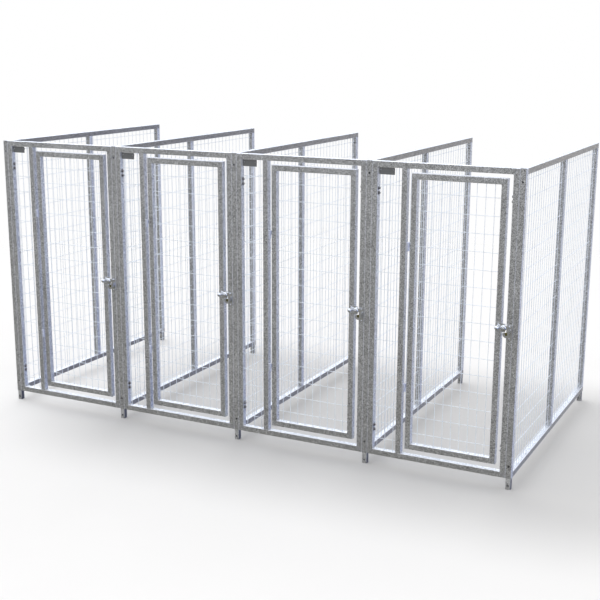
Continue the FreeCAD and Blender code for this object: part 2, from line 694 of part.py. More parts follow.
for k in range(BAYS):
    bay = f"({FIRST_BAY} + {k} * @bayPitch)"
    gate_left = f"({bay} + {GATE_LEFT})"
    gate_bottom = f"(@footHeight + {GATE_BOTTOM})"
    hinge = f"({bay} + {HINGE_AXIS})"
    latch = {"x": f"({bay} + {LATCH_PIVOT})", "y": FRONT_FACE, "z": "(@footHeight + @latchHeight)"}
    node(f"front_frame_{k + 1}", front_tubes, x=bay, z="@footHeight")
    node(f"front_mesh_{k + 1}", front_wires, x=bay, z="@footHeight")
    node(f"gate_frame_{k + 1}", gate_tubes, x=gate_left, z=gate_bottom)
    node(f"gate_mesh_{k + 1}", gate_wires, x=gate_left, z=gate_bottom)
    node(f"gate_hinge_knuckles_{k + 1}", [gate_knuckles], x=hinge,
         y=f"({FRONT_FACE} - @hingeAxisFront)", z="(@footHeight + @lowHingeHeight)")
    node(f"latch_plate_{k + 1}", [latch_plate], **latch)
    node(f"latch_rivets_{k + 1}", [latch_rivets], **latch)
    node(f"latch_pivot_{k + 1}", [pivot], **latch)
    node(f"latch_lever_{k + 1}", [lever], **latch)
    node(f"latch_keeper_{k + 1}", [keeper], **latch)

first_hinge = {"x": f"({FIRST_BAY} + {HINGE_AXIS})", "y": f"({FRONT_FACE} - @hingeAxisFront)",
               "z": "(@footHeight + @lowHingeHeight)"}
first_latch = {"x": f"({FIRST_BAY} + {LATCH_PIVOT})", "y": FRONT_FACE, "z": "(@footHeight + @latchHeight)"}
node("frame_hinge_knuckles", [frame_knuckles], **first_hinge)
node("hinge_pins", [hinge_pin], **first_hinge)
node("keeper_rivets", [keeper_rivets], **first_latch)
node("panel_bolts", [bolt for bolt, nut, washer in bolt_sets], z="@footHeight")
node("bolt_nuts", [nut for bolt, nut, washer in bolt_sets], z="@footHeight")
node("bolt_washers", [washer for bolt, nut, washer in bolt_sets], z="@footHeight")
node("legs", [leg], x=FIRST_SIDE)
node("identity_plates", [identity_plate], x=FIRST_BAY, z="@footHeight")
node("plate_screws", [plate_screws], x=FIRST_BAY, z="@footHeight")
node("plate_washers", [plate_washers], x=FIRST_BAY, z="@footHeight")

# Check and write

doc.recompute()
for item in doc.Objects:
    if "Invalid" in item.State or "Error" in item.State:
        raise RuntimeError(f"{item.Label} did not recompute: {item.State}")
for item in nodes:
    if item.Shape.isNull() or not item.Shape.isValid():
        raise RuntimeError(f"{item.Label} has no valid shape")
    item.Shape.exportStep(f"parts/{item.Label}.step")
    box = item.Shape.BoundBox
    print(f"{item.Label}: {len(item.Shape.Solids)} solids, {item.Shape.Volume / 1000:.1f} cm3, "
          f"X {box.XMin:.1f}..{box.XMax:.1f} Y {box.YMin:.1f}..{box.YMax:.1f} Z {box.ZMin:.1f}..{box.ZMax:.1f}")
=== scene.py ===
import bmesh
import bpy
import json
import math
from mathutils import Matrix, Vector


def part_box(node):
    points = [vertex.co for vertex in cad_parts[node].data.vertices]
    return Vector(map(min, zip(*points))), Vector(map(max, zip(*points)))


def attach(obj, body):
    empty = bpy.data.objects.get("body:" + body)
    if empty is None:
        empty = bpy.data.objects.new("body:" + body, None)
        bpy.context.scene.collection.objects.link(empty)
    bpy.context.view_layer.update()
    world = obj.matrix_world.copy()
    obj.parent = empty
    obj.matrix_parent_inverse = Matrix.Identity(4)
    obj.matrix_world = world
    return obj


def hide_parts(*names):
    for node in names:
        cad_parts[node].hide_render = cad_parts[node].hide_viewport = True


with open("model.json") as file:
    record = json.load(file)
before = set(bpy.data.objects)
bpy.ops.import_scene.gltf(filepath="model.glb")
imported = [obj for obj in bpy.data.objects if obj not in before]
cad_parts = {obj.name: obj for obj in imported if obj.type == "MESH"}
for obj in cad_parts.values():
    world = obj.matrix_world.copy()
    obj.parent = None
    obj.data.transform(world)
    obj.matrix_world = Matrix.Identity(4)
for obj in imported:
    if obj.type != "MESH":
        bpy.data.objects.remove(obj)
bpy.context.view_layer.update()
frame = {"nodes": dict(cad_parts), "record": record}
nodes = frame["nodes"]
bays = range(1, 5)
sides = range(1, 6)
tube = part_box("side_frame_3")[1].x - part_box("side_frame_3")[0].x
print("frame loaded:", len(nodes), "nodes")

# small helpers for node trees


def addNode(tree, kind, **values):
    node = tree.nodes.new(kind)
    for name, value in values.items():
        setattr(node, name, value)
    return node


def setInput(tree, socket, value):
    # a socket is linked, anything else becomes the input's own value
    if isinstance(value, bpy.types.NodeSocket):
        tree.links.new(value, socket)
    elif value is not None:
        socket.default_value = value


def fill(tree, node, **inputs):
    # inputs by name, with underscores for spaces
    for name, value in inputs.items():
        setInput(tree, node.inputs[name.replace("_", " ")], value)
    return node


def made(tree, kind, **inputs):
    return fill(tree, addNode(tree, kind), **inputs)


def mathNode(tree, operation, *values, clamp=False):
    node = addNode(tree, "ShaderNodeMath", operation=operation, use_clamp=clamp)
    for socket, value in zip(node.inputs, values):
        setInput(tree, socket, value)
    return node.outputs[0]


def times(tree, *values, clamp=False):
    return mathNode(tree, "MULTIPLY", *values, clamp=clamp)


def plus(tree, *values, clamp=False):
    return mathNode(tree, "ADD", *values, clamp=clamp)


def minus(tree, *values, clamp=False):
    return mathNode(tree, "SUBTRACT", *values, clamp=clamp)


def vectorNode(tree, operation, *values, scale=None):
    node = addNode(tree, "ShaderNodeVectorMath", operation=operation)
    for socket, value in zip(node.inputs, values):
        setInput(tree, socket, value)
    if operation == "SCALE":
        setInput(tree, node.inputs["Scale"], scale)
    return node.outputs["Value" if operation == "LENGTH" else "Vector"]


def objectPlace(tree):
    return addNode(tree, "ShaderNodeTexCoord").outputs["Object"]


def noise(tree, place, scale, detail):
    return made(tree, "ShaderNodeTexNoise", Vector=place, Scale=scale, Detail=detail).outputs


def splitVector(tree, vector):
    return made(tree, "ShaderNodeSeparateXYZ", Vector=vector).outputs


def newGroup(name, kind, inputs, outputs):
    # inputs and outputs are (name, kind of socket, starting value or None)
    tree = bpy.data.node_groups.new(name, kind)
    for inOut, sockets in (("INPUT", inputs), ("OUTPUT", outputs)):
        for label, socketType, start in sockets:
            socket = tree.interface.new_socket(name=label, in_out=inOut,
                                               socket_type="NodeSocket" + socketType)
            if start is not None:
                socket.default_value = start
    return tree, addNode(tree, "NodeGroupInput"), addNode(tree, "NodeGroupOutput")


def rampNode(tree, factor, stops):
    # stops are (position, grey or colour)
    node = addNode(tree, "ShaderNodeValToRGB")
    setInput(tree, node.inputs[0], factor)
    ramp = node.color_ramp
    while len(ramp.elements) < len(stops):
        ramp.elements.new(0.5)
    for element, (position, tone) in zip(ramp.elements, stops):
        element.position = position
        element.color = (tone, tone, tone, 1) if isinstance(tone, (int, float)) else (*tone, 1)
    return node.outputs[0]


# shared surface effects, each a shader node group that puts out values only


spanglePlan = {"warpScale": 60.0, "warpReach": 0.012, "finer": 2.7, "broadScale": 7.0, "broadTone": 0.35,
               "cellGloss": 0.16, "broadGloss": 0.12, "cellRelief": 0.4}


def buildSpangle(plan):
    # zinc crystals: angular grains of uneven brightness, with finer speckle inside them
    tree, start, end = newGroup("zincSpangle", "ShaderNodeTree",
                                [("Grain", "Float", 90.0), ("Contrast", "Float", 0.5),
                                 ("Speckle", "Float", 0.3)],
                                [("Tone", "Float", None), ("Gloss", "Float", None),
                                 ("Relief", "Float", None)])
    given = start.outputs
    place = objectPlace(tree)
    warp = noise(tree, place, plan["warpScale"], 2.0)
    centred = vectorNode(tree, "SUBTRACT", warp["Color"], (0.5, 0.5, 0.5))
    bent = vectorNode(tree, "ADD", place, vectorNode(tree, "SCALE", centred, scale=plan["warpReach"]))

    def cells(scale):
        # a random red, green and blue for each crystal
        grain = made(tree, "ShaderNodeTexVoronoi", Vector=bent, Scale=scale)
        return made(tree, "ShaderNodeSeparateColor", Color=grain.outputs["Color"]).outputs

    coarse = cells(given["Grain"])
    fine = cells(times(tree, given["Grain"], plan["finer"]))
    broad = noise(tree, place, plan["broadScale"], 3.0)[0]
    big = times(tree, minus(tree, coarse[0], 0.5), given["Contrast"])
    small = times(tree, minus(tree, fine[1], 0.5), given["Speckle"])
    wide = times(tree, minus(tree, broad, 0.5), plan["broadTone"])
    setInput(tree, end.inputs["Tone"], plus(tree, plus(tree, plus(tree, big, small), wide), 1.0))
    setInput(tree, end.inputs["Gloss"], plus(tree, times(tree, coarse[1], plan["cellGloss"]),
                                             times(tree, broad, plan["broadGloss"])))
    setInput(tree, end.inputs["Relief"], plus(tree, times(tree, coarse[2], plan["cellRelief"]), warp[0]))
    return tree


runsPlan = {"stretch": (90.0, 90.0, 5.0), "patchScale": 3.5, "dryBelow": 0.22, "fullAbove": 0.42}


def buildZincRuns(plan):
    # runs and tears of zinc down an upright surface, and drying stains
    tree, start, end = newGroup("zincRuns", "ShaderNodeTree",
                                [("Amount", "Float", 0.3)],
                                [("Stain", "Float", None), ("Relief", "Float", None)])
    place = objectPlace(tree)
    streak = noise(tree, vectorNode(tree, "MULTIPLY", place, plan["stretch"]), 1.0, 3.0)[0]
    patch = noise(tree, place, plan["patchScale"], 4.0)[0]
    mask = rampNode(tree, times(tree, streak, patch), [(plan["dryBelow"], 0.0), (plan["fullAbove"], 1.0)])
    setInput(tree, end.inputs["Stain"], times(tree, mask, start.outputs["Amount"]))
    setInput(tree, end.inputs["Relief"], streak)
    return tree


grimePlan = {"splashScale": 45.0, "thinBelow": 0.35, "thin": 0.2, "fullAbove": 0.7}


def buildGrime(plan):
    # dirt splashed up from the floor
    tree, start, end = newGroup("floorGrime", "ShaderNodeTree",
                                [("Reach", "Float", 0.12), ("Amount", "Float", 0.4)],
                                [("Mask", "Float", None)])
    place = objectPlace(tree)
    splash = noise(tree, place, plan["splashScale"], 5.0)[0]
    share = mathNode(tree, "DIVIDE", splitVector(tree, place)[2], start.outputs["Reach"])
    patches = rampNode(tree, splash, [(plan["thinBelow"], plan["thin"]), (plan["fullAbove"], 1.0)])
    mask = times(tree, minus(tree, 1.0, share, clamp=True), patches)
    setInput(tree, end.inputs["Mask"], times(tree, mask, start.outputs["Amount"]))
    return tree


wearAndHighlightPlan = {"patchScale": 75.0, "thinBelow": 0.38, "thin": 0.25, "fullAbove": 0.58, "sharpness": 7.0}


def buildEdgeWearAndHighlight(plan):
    # rounded corners made brighter in broken patches: rubbed wear, and painted highlight where a corner
    # catches the light
    tree, start, end = newGroup("edgeWearAndHighlight", "ShaderNodeTree",
                                [("Sharpness", "Float", 7.0), ("Amount", "Float", 0.5)],
                                [("Mask", "Float", None)])
    where = addNode(tree, "ShaderNodeTexCoord").outputs
    facing = splitVector(tree, vectorNode(tree, "ABSOLUTE", where["Normal"]))
    widest = mathNode(tree, "MAXIMUM", mathNode(tree, "MAXIMUM", *facing[:2]), facing[2])
    corner = times(tree, minus(tree, 1.0, widest), start.outputs["Sharpness"], clamp=True)
    broken = noise(tree, where["Object"], plan["patchScale"], 4.0)[0]
    patches = rampNode(tree, broken, [(plan["thinBelow"], plan["thin"]), (plan["fullAbove"], 1.0)])
    setInput(tree, end.inputs["Mask"], times(tree, times(tree, corner, patches), start.outputs["Amount"]))
    return tree


tonePlan = {"sideways": 0.75, "upwards": 0.6}


def buildRailShadeAndTopLight(plan):
    # painted shade on the sides that face +X, below Low or above High and behind From, and painted light on
    # every upward face
    tree, start, end = newGroup("railShadeAndTopLight", "ShaderNodeTree",
                                [("Low", "Float", 0.1), ("High", "Float", 1.8),
                                 ("From", "Float", 0.0)],
                                [("Side", "Float", None), ("Top", "Float", None)])
    given = start.outputs
    where = addNode(tree, "ShaderNodeTexCoord").outputs
    facing = splitVector(tree, where["Normal"])
    place = splitVector(tree, where["Object"])
    low = mathNode(tree, "LESS_THAN", place[2], given["Low"])
    high = mathNode(tree, "GREATER_THAN", place[2], given["High"])
    behind = mathNode(tree, "GREATER_THAN", place[1], given["From"])
    rail = times(tree, mathNode(tree, "MAXIMUM", low, high), behind)
    sideways = mathNode(tree, "GREATER_THAN", facing[0], plan["sideways"])
    setInput(tree, end.inputs["Side"], times(tree, rail, sideways))
    setInput(tree, end.inputs["Top"], mathNode(tree, "GREATER_THAN", facing[2], plan["upwards"]))
    return tree


spangle = buildSpangle(spanglePlan)
zincRuns = buildZincRuns(runsPlan)
grime = buildGrime(grimePlan)
edgeWearAndHighlight = buildEdgeWearAndHighlight(wearAndHighlightPlan)
railShadeAndTopLight = buildRailShadeAndTopLight(tonePlan)


def groupNode(tree, group, **inputs):
    node = addNode(tree, "ShaderNodeGroup", node_tree=group)
    return fill(tree, node, **inputs)


def newMaterial(name, **shaderValues):
    material = bpy.data.materials.new(name)
    material.use_nodes = True
    tree = material.node_tree
    shader = tree.nodes["Principled BSDF"]
    fill(tree, shader, **shaderValues)
    return material, tree, shader


def colourSockets(mixNode):
    return [socket for socket in mixNode.inputs if socket.type == "RGBA"]


def colourResult(mixNode):
    return next(socket for socket in mixNode.outputs if socket.type == "RGBA")


def scaled(tree, colour, factor):
    # a plain colour made lighter or darker by a value
    node = addNode(tree, "ShaderNodeMix", data_type="RGBA", blend_type="MULTIPLY")
    first, second = colourSockets(node)
    node.inputs["Factor"].default_value = 1.0
    setInput(tree, first, (*colour, 1))
    setInput(tree, second, factor)
    return colourResult(node)


def mixed(tree, factor, first, second):
    node = addNode(tree, "ShaderNodeMix", data_type="RGBA")
    setInput(tree, node.inputs["Factor"], factor)
    for socket, value in zip(colourSockets(node), (first, second)):
        setInput(tree, socket, value)
    return colourResult(node)


def bumped(tree, shader, height, strength, distance):
    bump = made(tree, "ShaderNodeBump", Height=height, Strength=strength, Distance=distance)
    setInput(tree, shader.inputs["Normal"], bump.outputs[0])


def zincMaterial(name, look):
    # galvanised steel in one of its looks
    material, tree, shader = newMaterial(name, Metallic=look["metallic"])
    crystal = groupNode(tree, spangle, Grain=look["grain"], Contrast=look["contrast"],
                        Speckle=look["speckle"]).outputs
    runs = groupNode(tree, zincRuns, Amount=look["runs"])
    dirt = groupNode(tree, grime, Reach=look["grimeReach"], Amount=look["grime"])
    bright = scaled(tree, look["colour"], crystal["Tone"])
    dulled = mixed(tree, runs.outputs["Stain"], bright, (*look["stain"], 1))
    dirtWearAndPaintedLight = mixed(tree, dirt.outputs["Mask"], dulled, (*look["dirt"], 1))
    # painted shade on the rails' +X sides and painted light on upward faces
    if look["rails"]:
        low, high, behind = look["rails"]
        rails = groupNode(tree, railShadeAndTopLight, Low=low, High=high, From=behind)
        for face, colour in (("Side", "sideShadeColour"), ("Top", "topLightColour")):
            dirtWearAndPaintedLight = mixed(tree, rails.outputs[face], dirtWearAndPaintedLight, scaled(tree, look[colour], crystal["Tone"]))
    # corners brightened in patches: rubbed wear, and on the tubes a white painted highlight
    if look["wearAndHighlight"]:
        wornAndLit = groupNode(tree, edgeWearAndHighlight, Sharpness=wearAndHighlightPlan["sharpness"], Amount=look["wearAndHighlight"])
        dirtWearAndPaintedLight = mixed(tree, wornAndLit.outputs["Mask"], dirtWearAndPaintedLight, (*look["edge"], 1))
    setInput(tree, shader.inputs["Base Color"], dirtWearAndPaintedLight)
    rough = plus(tree, crystal["Gloss"], look["roughness"])
    rough = plus(tree, rough, times(tree, dirt.outputs["Mask"], 0.3), clamp=True)
    setInput(tree, shader.inputs["Roughness"], rough)
    height = plus(tree, crystal["Relief"], runs.outputs["Relief"])
    bumped(tree, shader, height, look["bump"], 0.001)
    return material


railSpan = (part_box("side_mesh_1")[0].z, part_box("side_mesh_1")[1].z, tube / 2)
# the whole leg counts as rail: painted shade on its +X sides and painted light on its top
wholeLeg = (1.0, 9.0, -1.0)
zincLooks = {
    "galvanisedTube": {"colour": (0.60, 0.60, 0.60), "stain": (0.44, 0.44, 0.44), "dirt": (0.20, 0.19, 0.17),
                       "metallic": 0.85, "roughness": 0.26, "grain": 235.0, "contrast": 0.95, "speckle": 0.85,
                       "runs": 0.45, "grimeReach": 0.16, "grime": 0.25, "bump": 0.35, "wearAndHighlight": 1.0,
                       # the rail side colour is painted shade and the top colour is painted light
                       # the tube's white edge colour is painted highlight on its corners
                       "edge": (1.0, 1.0, 1.0), "rails": railSpan, "sideShadeColour": (0.30, 0.28, 0.25),
                       "topLightColour": (0.86, 0.90, 0.96)},
    # the wire's light blue-white colour is the zinc's pale grey plus painted reflection of the bluish studio
    # light
    "galvanisedWire": {"colour": (0.88, 0.93, 1.0), "stain": (0.66, 0.70, 0.82), "dirt": (0.25, 0.24, 0.22),
                       "metallic": 0.25, "roughness": 0.34, "grain": 240.0, "contrast": 0.25, "speckle": 0.25,
                       "runs": 0.2, "grimeReach": 0.2, "grime": 0.2, "bump": 0.2, "wearAndHighlight": 0.0, "rails": None},
    "legTube": {"colour": (0.74, 0.74, 0.74), "stain": (0.36, 0.36, 0.36), "dirt": (0.14, 0.13, 0.12),
                "metallic": 0.8, "roughness": 0.34, "grain": 210.0, "contrast": 0.75, "speckle": 0.7,
                "runs": 0.4, "grimeReach": 0.05, "grime": 0.6, "bump": 0.3, "wearAndHighlight": 0.3,
                "edge": (0.66, 0.67, 0.70), "rails": wholeLeg, "sideShadeColour": (0.13, 0.13, 0.14),
                "topLightColour": (0.70, 0.70, 0.72)},
    "zincFitting": {"colour": (0.66, 0.69, 0.80), "stain": (0.42, 0.43, 0.47), "dirt": (0.16, 0.15, 0.14),
                    "metallic": 0.7, "roughness": 0.28, "grain": 320.0, "contrast": 0.25, "speckle": 0.3,
                    "runs": 0.3, "grimeReach": 0.2, "grime": 0.3, "bump": 0.2, "wearAndHighlight": 0.7,
                    "edge": (0.88, 0.90, 0.96), "rails": None},
    "darkZinc": {"colour": (0.17, 0.16, 0.16), "stain": (0.20, 0.15, 0.11), "dirt": (0.08, 0.07, 0.06),
                 "metallic": 0.8, "roughness": 0.34, "grain": 420.0, "contrast": 0.3, "speckle": 0.4,
                 "runs": 0.4, "grimeReach": 0.2, "grime": 0.3, "bump": 0.25, "wearAndHighlight": 0.8,
                 "edge": (0.55, 0.56, 0.58), "rails": None},
    "weldZinc": {"colour": (0.56, 0.57, 0.60), "stain": (0.40, 0.40, 0.42), "dirt": (0.18, 0.17, 0.16),
                 "metallic": 0.8, "roughness": 0.36, "grain": 500.0, "contrast": 0.4, "speckle": 0.4,
                 "runs": 0.2, "grimeReach": 0.2, "grime": 0.3, "bump": 0.3, "wearAndHighlight": 0.0, "rails": None},
    # the plating's yellow-green, darkened as painted shade for the keeper's hollow
    "shadedYellowZinc": {"colour": (0.27, 0.24, 0.06), "stain": (0.16, 0.14, 0.05), "dirt": (0.08, 0.07, 0.04),
                   "metallic": 0.6, "roughness": 0.34, "grain": 380.0, "contrast": 0.5, "speckle": 0.4,
                   "runs": 0.5, "grimeReach": 0.2, "grime": 0.2, "bump": 0.2, "wearAndHighlight": 0.5,
                   "edge": (0.62, 0.60, 0.46), "rails": None},
}
materials = {name: zincMaterial(name, look) for name, look in zincLooks.items()}


polishedLook = {"colour": (0.86, 0.87, 0.88), "dull": (0.62, 0.62, 0.63), "roughness": 0.10, "marks": 900.0,
                "spots": 160.0, "spotFrom": 0.5, "spotTo": 0.72, "spotRoughness": 0.16, "markRoughness": 0.08}


def polishedMaterial(look):
    # bright plated steel, with faint polishing marks and dull spots
    material, tree, shader = newMaterial("polishedSteel", Metallic=1.0)
    place = objectPlace(tree)
    marks = noise(tree, vectorNode(tree, "MULTIPLY", place, (1, 1, 8)), look["marks"], 2.0)[0]
    spots = noise(tree, place, look["spots"], 4.0)[0]
    dull = rampNode(tree, spots, [(look["spotFrom"], 0.0), (look["spotTo"], 1.0)])
    setInput(tree, shader.inputs["Base Color"], mixed(tree, dull, (*look["colour"], 1), (*look["dull"], 1)))
    rough = plus(tree, times(tree, dull, look["spotRoughness"]), times(tree, marks, look["markRoughness"]))
    setInput(tree, shader.inputs["Roughness"], plus(tree, rough, look["roughness"]))
    bumped(tree, shader, marks, 0.05, 0.0005)
    return material


plateLook = {"colour": (0.122, 0.127, 0.132), "haze": (0.145, 0.147, 0.152), "roughness": 0.32, "peel": 700.0,
             "hazeScale": 35.0, "hazeFrom": 0.4, "hazeTo": 0.75, "hazeMost": 0.6, "hazeRoughness": 0.2}


def plateMaterial(look):
    # satin dark enamel over steel, with an orange-peel skin
    material, tree, shader = newMaterial("darkPlate", Metallic=0.0)
    place = objectPlace(tree)
    peel = noise(tree, place, look["peel"], 2.0)[0]
    haze = noise(tree, place, look["hazeScale"], 4.0)[0]
    veil = rampNode(tree, haze, [(look["hazeFrom"], 0.0), (look["hazeTo"], look["hazeMost"])])
    setInput(tree, shader.inputs["Base Color"], mixed(tree, veil, (*look["colour"], 1), (*look["haze"], 1)))
    setInput(tree, shader.inputs["Roughness"], plus(tree, times(tree, haze, look["hazeRoughness"]),
                                                    look["roughness"]))
    bumped(tree, shader, peel, 0.15, 0.0004)
    return material


materials["polishedSteel"] = polishedMaterial(polishedLook)
materials["darkPlate"] = plateMaterial(plateLook)
slotLooks = {"galvanised_tube": "galvanisedTube", "galvanised_wire": "galvanisedWire", "leg_tube": "legTube",
             "zinc_fittings": "zincFitting", "dark_zinc": "darkZinc", "polished_steel": "polishedSteel",
             "dark_plate": "darkPlate"}
for part in frame["record"]["subparts"]:
    mesh = nodes[part["node"]].data
    mesh.materials.clear()
    mesh.materials.append(materials[slotLooks[part["material_slot"]]])
print("materials set")

# Geometry Nodes helpers


def modifierInput(tree, modifier, **values):
    # a modifier's input is set by its socket's identifier
    for item in tree.interface.items_tree:
        if item.item_type == "SOCKET" and item.in_out == "INPUT" and item.name in values:
            modifier[item.identifier] = values[item.name]


def grown(tree, name, matrix, host=None, **values):
    # run a tree once and keep its result as a plain mesh, already in its place
    holder = bpy.data.objects.new(name, host or bpy.data.meshes.new(name))
    bpy.context.scene.collection.objects.link(holder)
    modifier = holder.modifiers.new("grow", "NODES")
    modifier.node_group = tree
    modifierInput(tree, modifier, **values)
    bpy.context.view_layer.update()
    evaluated = holder.evaluated_get(bpy.context.evaluated_depsgraph_get())
    mesh = bpy.data.meshes.new_from_object(evaluated)
    holder.modifiers.remove(modifier)
    holder.data = mesh
    mesh.name = name
    mesh.transform(matrix)
    return holder


def joined(name, pieces):
    # one object out of several plain ones
    whole = bmesh.new()
    finish = list(pieces[0].data.materials)
    for piece in pieces:
        whole.from_mesh(piece.data)
    mesh = bpy.data.meshes.new(name)
    whole.to_mesh(mesh)
    whole.free()
    for material in finish:
        mesh.materials.append(material)
    for piece in pieces:
        bpy.data.objects.remove(piece)
    result = bpy.data.objects.new(name, mesh)
    bpy.context.scene.collection.objects.link(result)
    return result


# welded wire mesh: upright wires in front of level wires, a weld at each crossing and wire end

meshPlan = {"wireRadius": 0.00175, "bite": 0.0006, "pitch": 0.0508, "rise": 0.1016, "sideFirst": 0.0246,
            "narrowFirst": 0.0217, "gateFirst": 0.0373, "panelFirstRow": 0.0332, "gateFirstRow": 0.0646,
            "sway": 0.0011, "step": 0.0508, "sideColumns": 17, "narrowColumns": 3, "gateColumns": 9,
            "panelRows": 17, "narrowRows": 16, "gateRows": 15, "narrowFirstRow": 0.0682, "bellyScale": 6.0,
            "seedStep": 3.7, "rimSteepness": 12.0, "nuggetSize": 1.25,
            "weldSizes": ((0.95, 0.85, 0.95), (1.35, 1.15, 1.35)),
            "endSizes": ((1.3, 1.0, 1.3), (2.0, 1.5, 2.0))}


def buildMeshTree():
    inputs = [("Width", "Float", 1.0), ("Height", "Float", 1.0),
              ("Columns", "Int", 3), ("Rows", "Int", 3),
              ("Column Pitch", "Float", 0.05), ("Row Pitch", "Float", 0.1),
              ("First Column", "Float", 0.02), ("First Row", "Float", 0.03),
              ("Wire Radius", "Float", 0.002), ("Offset", "Float", 0.0015),
              ("Step", "Float", 0.05), ("Sway", "Float", 0.001),
              ("Seed", "Int", 0), ("Finish", "Material", None)]
    tree, start, end = newGroup("weldedMesh", "GeometryNodeTree", inputs, [("Mesh", "Geometry", None)])
    given = start.outputs

    def vector(x=0.0, y=0.0, z=0.0):
        return made(tree, "ShaderNodeCombineXYZ", X=x, Y=y, Z=z).outputs[0]

    def realised(points, instance, **more):
        copies = addNode(tree, "GeometryNodeInstanceOnPoints")
        fill(tree, copies, Points=points, Instance=instance, **more)
        real = addNode(tree, "GeometryNodeRealizeInstances")
        setInput(tree, real.inputs[0], copies.outputs[0])
        return real.outputs[0]

    def pointRow(count, begin, stepBy):
        row = addNode(tree, "GeometryNodeMeshLine", mode="OFFSET")
        return fill(tree, row, Count=count, Start_Location=begin, Offset=stepBy).outputs[0]

    def wireRow(count, begin, far, stepBy):
        # straight wires side by side, cut into short steps so that they can sway
        line = made(tree, "GeometryNodeCurvePrimitiveLine", Start=(0, 0, 0), End=far)
        cut = addNode(tree, "GeometryNodeResampleCurve", mode="LENGTH")
        fill(tree, cut, Curve=line.outputs[0], Length=given["Step"])
        return realised(pointRow(count, begin, stepBy), cut.outputs[0])

    frontOffset = times(tree, given["Offset"], -1.0)
    nextColumn = vector(x=given["Column Pitch"])
    nextRow = vector(z=given["Row Pitch"])
    uprights = wireRow(given["Columns"], vector(given["First Column"], frontOffset),
                       vector(z=given["Height"]), nextColumn)
    levels = wireRow(given["Rows"], vector(0.0, given["Offset"], given["First Row"]),
                     vector(x=given["Width"]), nextRow)
    wires = addNode(tree, "GeometryNodeJoinGeometry")
    tree.links.new(uprights, wires.inputs[0])
    tree.links.new(levels, wires.inputs[0])

    # the whole panel bellies a little, so that both sets of wires stay together
    place = addNode(tree, "GeometryNodeInputPosition").outputs[0]
    seedShift = vector(0.0, times(tree, given["Seed"], meshPlan["seedStep"]), 0.0)
    flat = vectorNode(tree, "ADD", vectorNode(tree, "MULTIPLY", place, (1.0, 0.0, 1.0)), seedShift)
    belly = noise(tree, flat, meshPlan["bellyScale"], 1.0)["Color"]
    centred = vectorNode(tree, "SUBTRACT", belly, (0.5, 0.5, 0.5))
    parts = splitVector(tree, place)

    def rim(value, length):
        # nought at both ends of the opening and one in the middle
        part = mathNode(tree, "DIVIDE", value, length)
        across = times(tree, part, minus(tree, 1.0, part))
        return times(tree, across, meshPlan["rimSteepness"], clamp=True)

    room = times(tree, rim(parts[0], given["Width"]), rim(parts[2], given["Height"]))
    amount = times(tree, times(tree, room, given["Sway"]), 4.0)
    move = vectorNode(tree, "SCALE", vectorNode(tree, "MULTIPLY", centred, (0.5, 1.0, 0.5)), scale=amount)

    def swayed(geometry):
        node = addNode(tree, "GeometryNodeSetPosition")
        fill(tree, node, Geometry=geometry, Offset=move)
        return node.outputs[0]

    section = addNode(tree, "GeometryNodeCurvePrimitiveCircle")
    fill(tree, section, Resolution=8, Radius=given["Wire Radius"])
    steel = addNode(tree, "GeometryNodeCurveToMesh")
    fill(tree, steel, Curve=swayed(wires.outputs[0]), Profile_Curve=section.outputs[0], Fill_Caps=True)

    # a nugget at each crossing, and a bigger one at each wire's end, where it meets the tube
    crossings = realised(pointRow(given["Columns"], vector(given["First Column"], 0.0, given["First Row"]),
                                  nextColumn),
                         pointRow(given["Rows"], (0, 0, 0), nextRow))
    ends = addNode(tree, "GeometryNodeJoinGeometry")
    for top in (0.0, given["Height"]):
        begin = vector(given["First Column"], frontOffset, top)
        tree.links.new(pointRow(given["Columns"], begin, nextColumn), ends.inputs[0])
    for right in (0.0, given["Width"]):
        begin = vector(right, given["Offset"], given["First Row"])
        tree.links.new(pointRow(given["Rows"], begin, nextRow), ends.inputs[0])
    nugget = addNode(tree, "GeometryNodeMeshUVSphere")
    fill(tree, nugget, Segments=6, Rings=4, Radius=times(tree, given["Wire Radius"], meshPlan["nuggetSize"]))

    def randomSize(smallest, largest):
        size = addNode(tree, "FunctionNodeRandomValue", data_type="FLOAT_VECTOR")
        size.inputs["Min"].default_value = smallest
        size.inputs["Max"].default_value = largest
        setInput(tree, size.inputs["Seed"], given["Seed"])
        return size.outputs[0]

    welds = realised(swayed(crossings), nugget.outputs[0], Scale=randomSize(*meshPlan["weldSizes"]))
    endWelds = realised(ends.outputs[0], nugget.outputs[0], Scale=randomSize(*meshPlan["endSizes"]))

    everything = addNode(tree, "GeometryNodeJoinGeometry")
    for part in (steel.outputs[0], welds, endWelds):
        tree.links.new(part, everything.inputs[0])
    smooth = addNode(tree, "GeometryNodeSetShadeSmooth")
    setInput(tree, smooth.inputs[0], everything.outputs[0])
    finish = addNode(tree, "GeometryNodeSetMaterial")
    fill(tree, finish, Geometry=smooth.outputs[0], Material=given["Finish"])
    setInput(tree, end.inputs[0], finish.outputs[0])
    return tree


meshTree = buildMeshTree()
wireOffset = meshPlan["wireRadius"] - meshPlan["bite"] / 2


def meshPanel(name, matrix, width, height, columns, rows, firstColumn, firstRow, seed):
    return grown(meshTree, name, matrix, **{
        "Width": width, "Height": height, "Columns": columns, "Rows": rows,
        "Column Pitch": meshPlan["pitch"], "Row Pitch": meshPlan["rise"],
        "First Column": firstColumn, "First Row": firstRow, "Wire Radius": meshPlan["wireRadius"],
        "Offset": wireOffset, "Step": meshPlan["step"], "Sway": meshPlan["sway"], "Seed": seed,
        "Finish": materials["galvanisedWire"]})


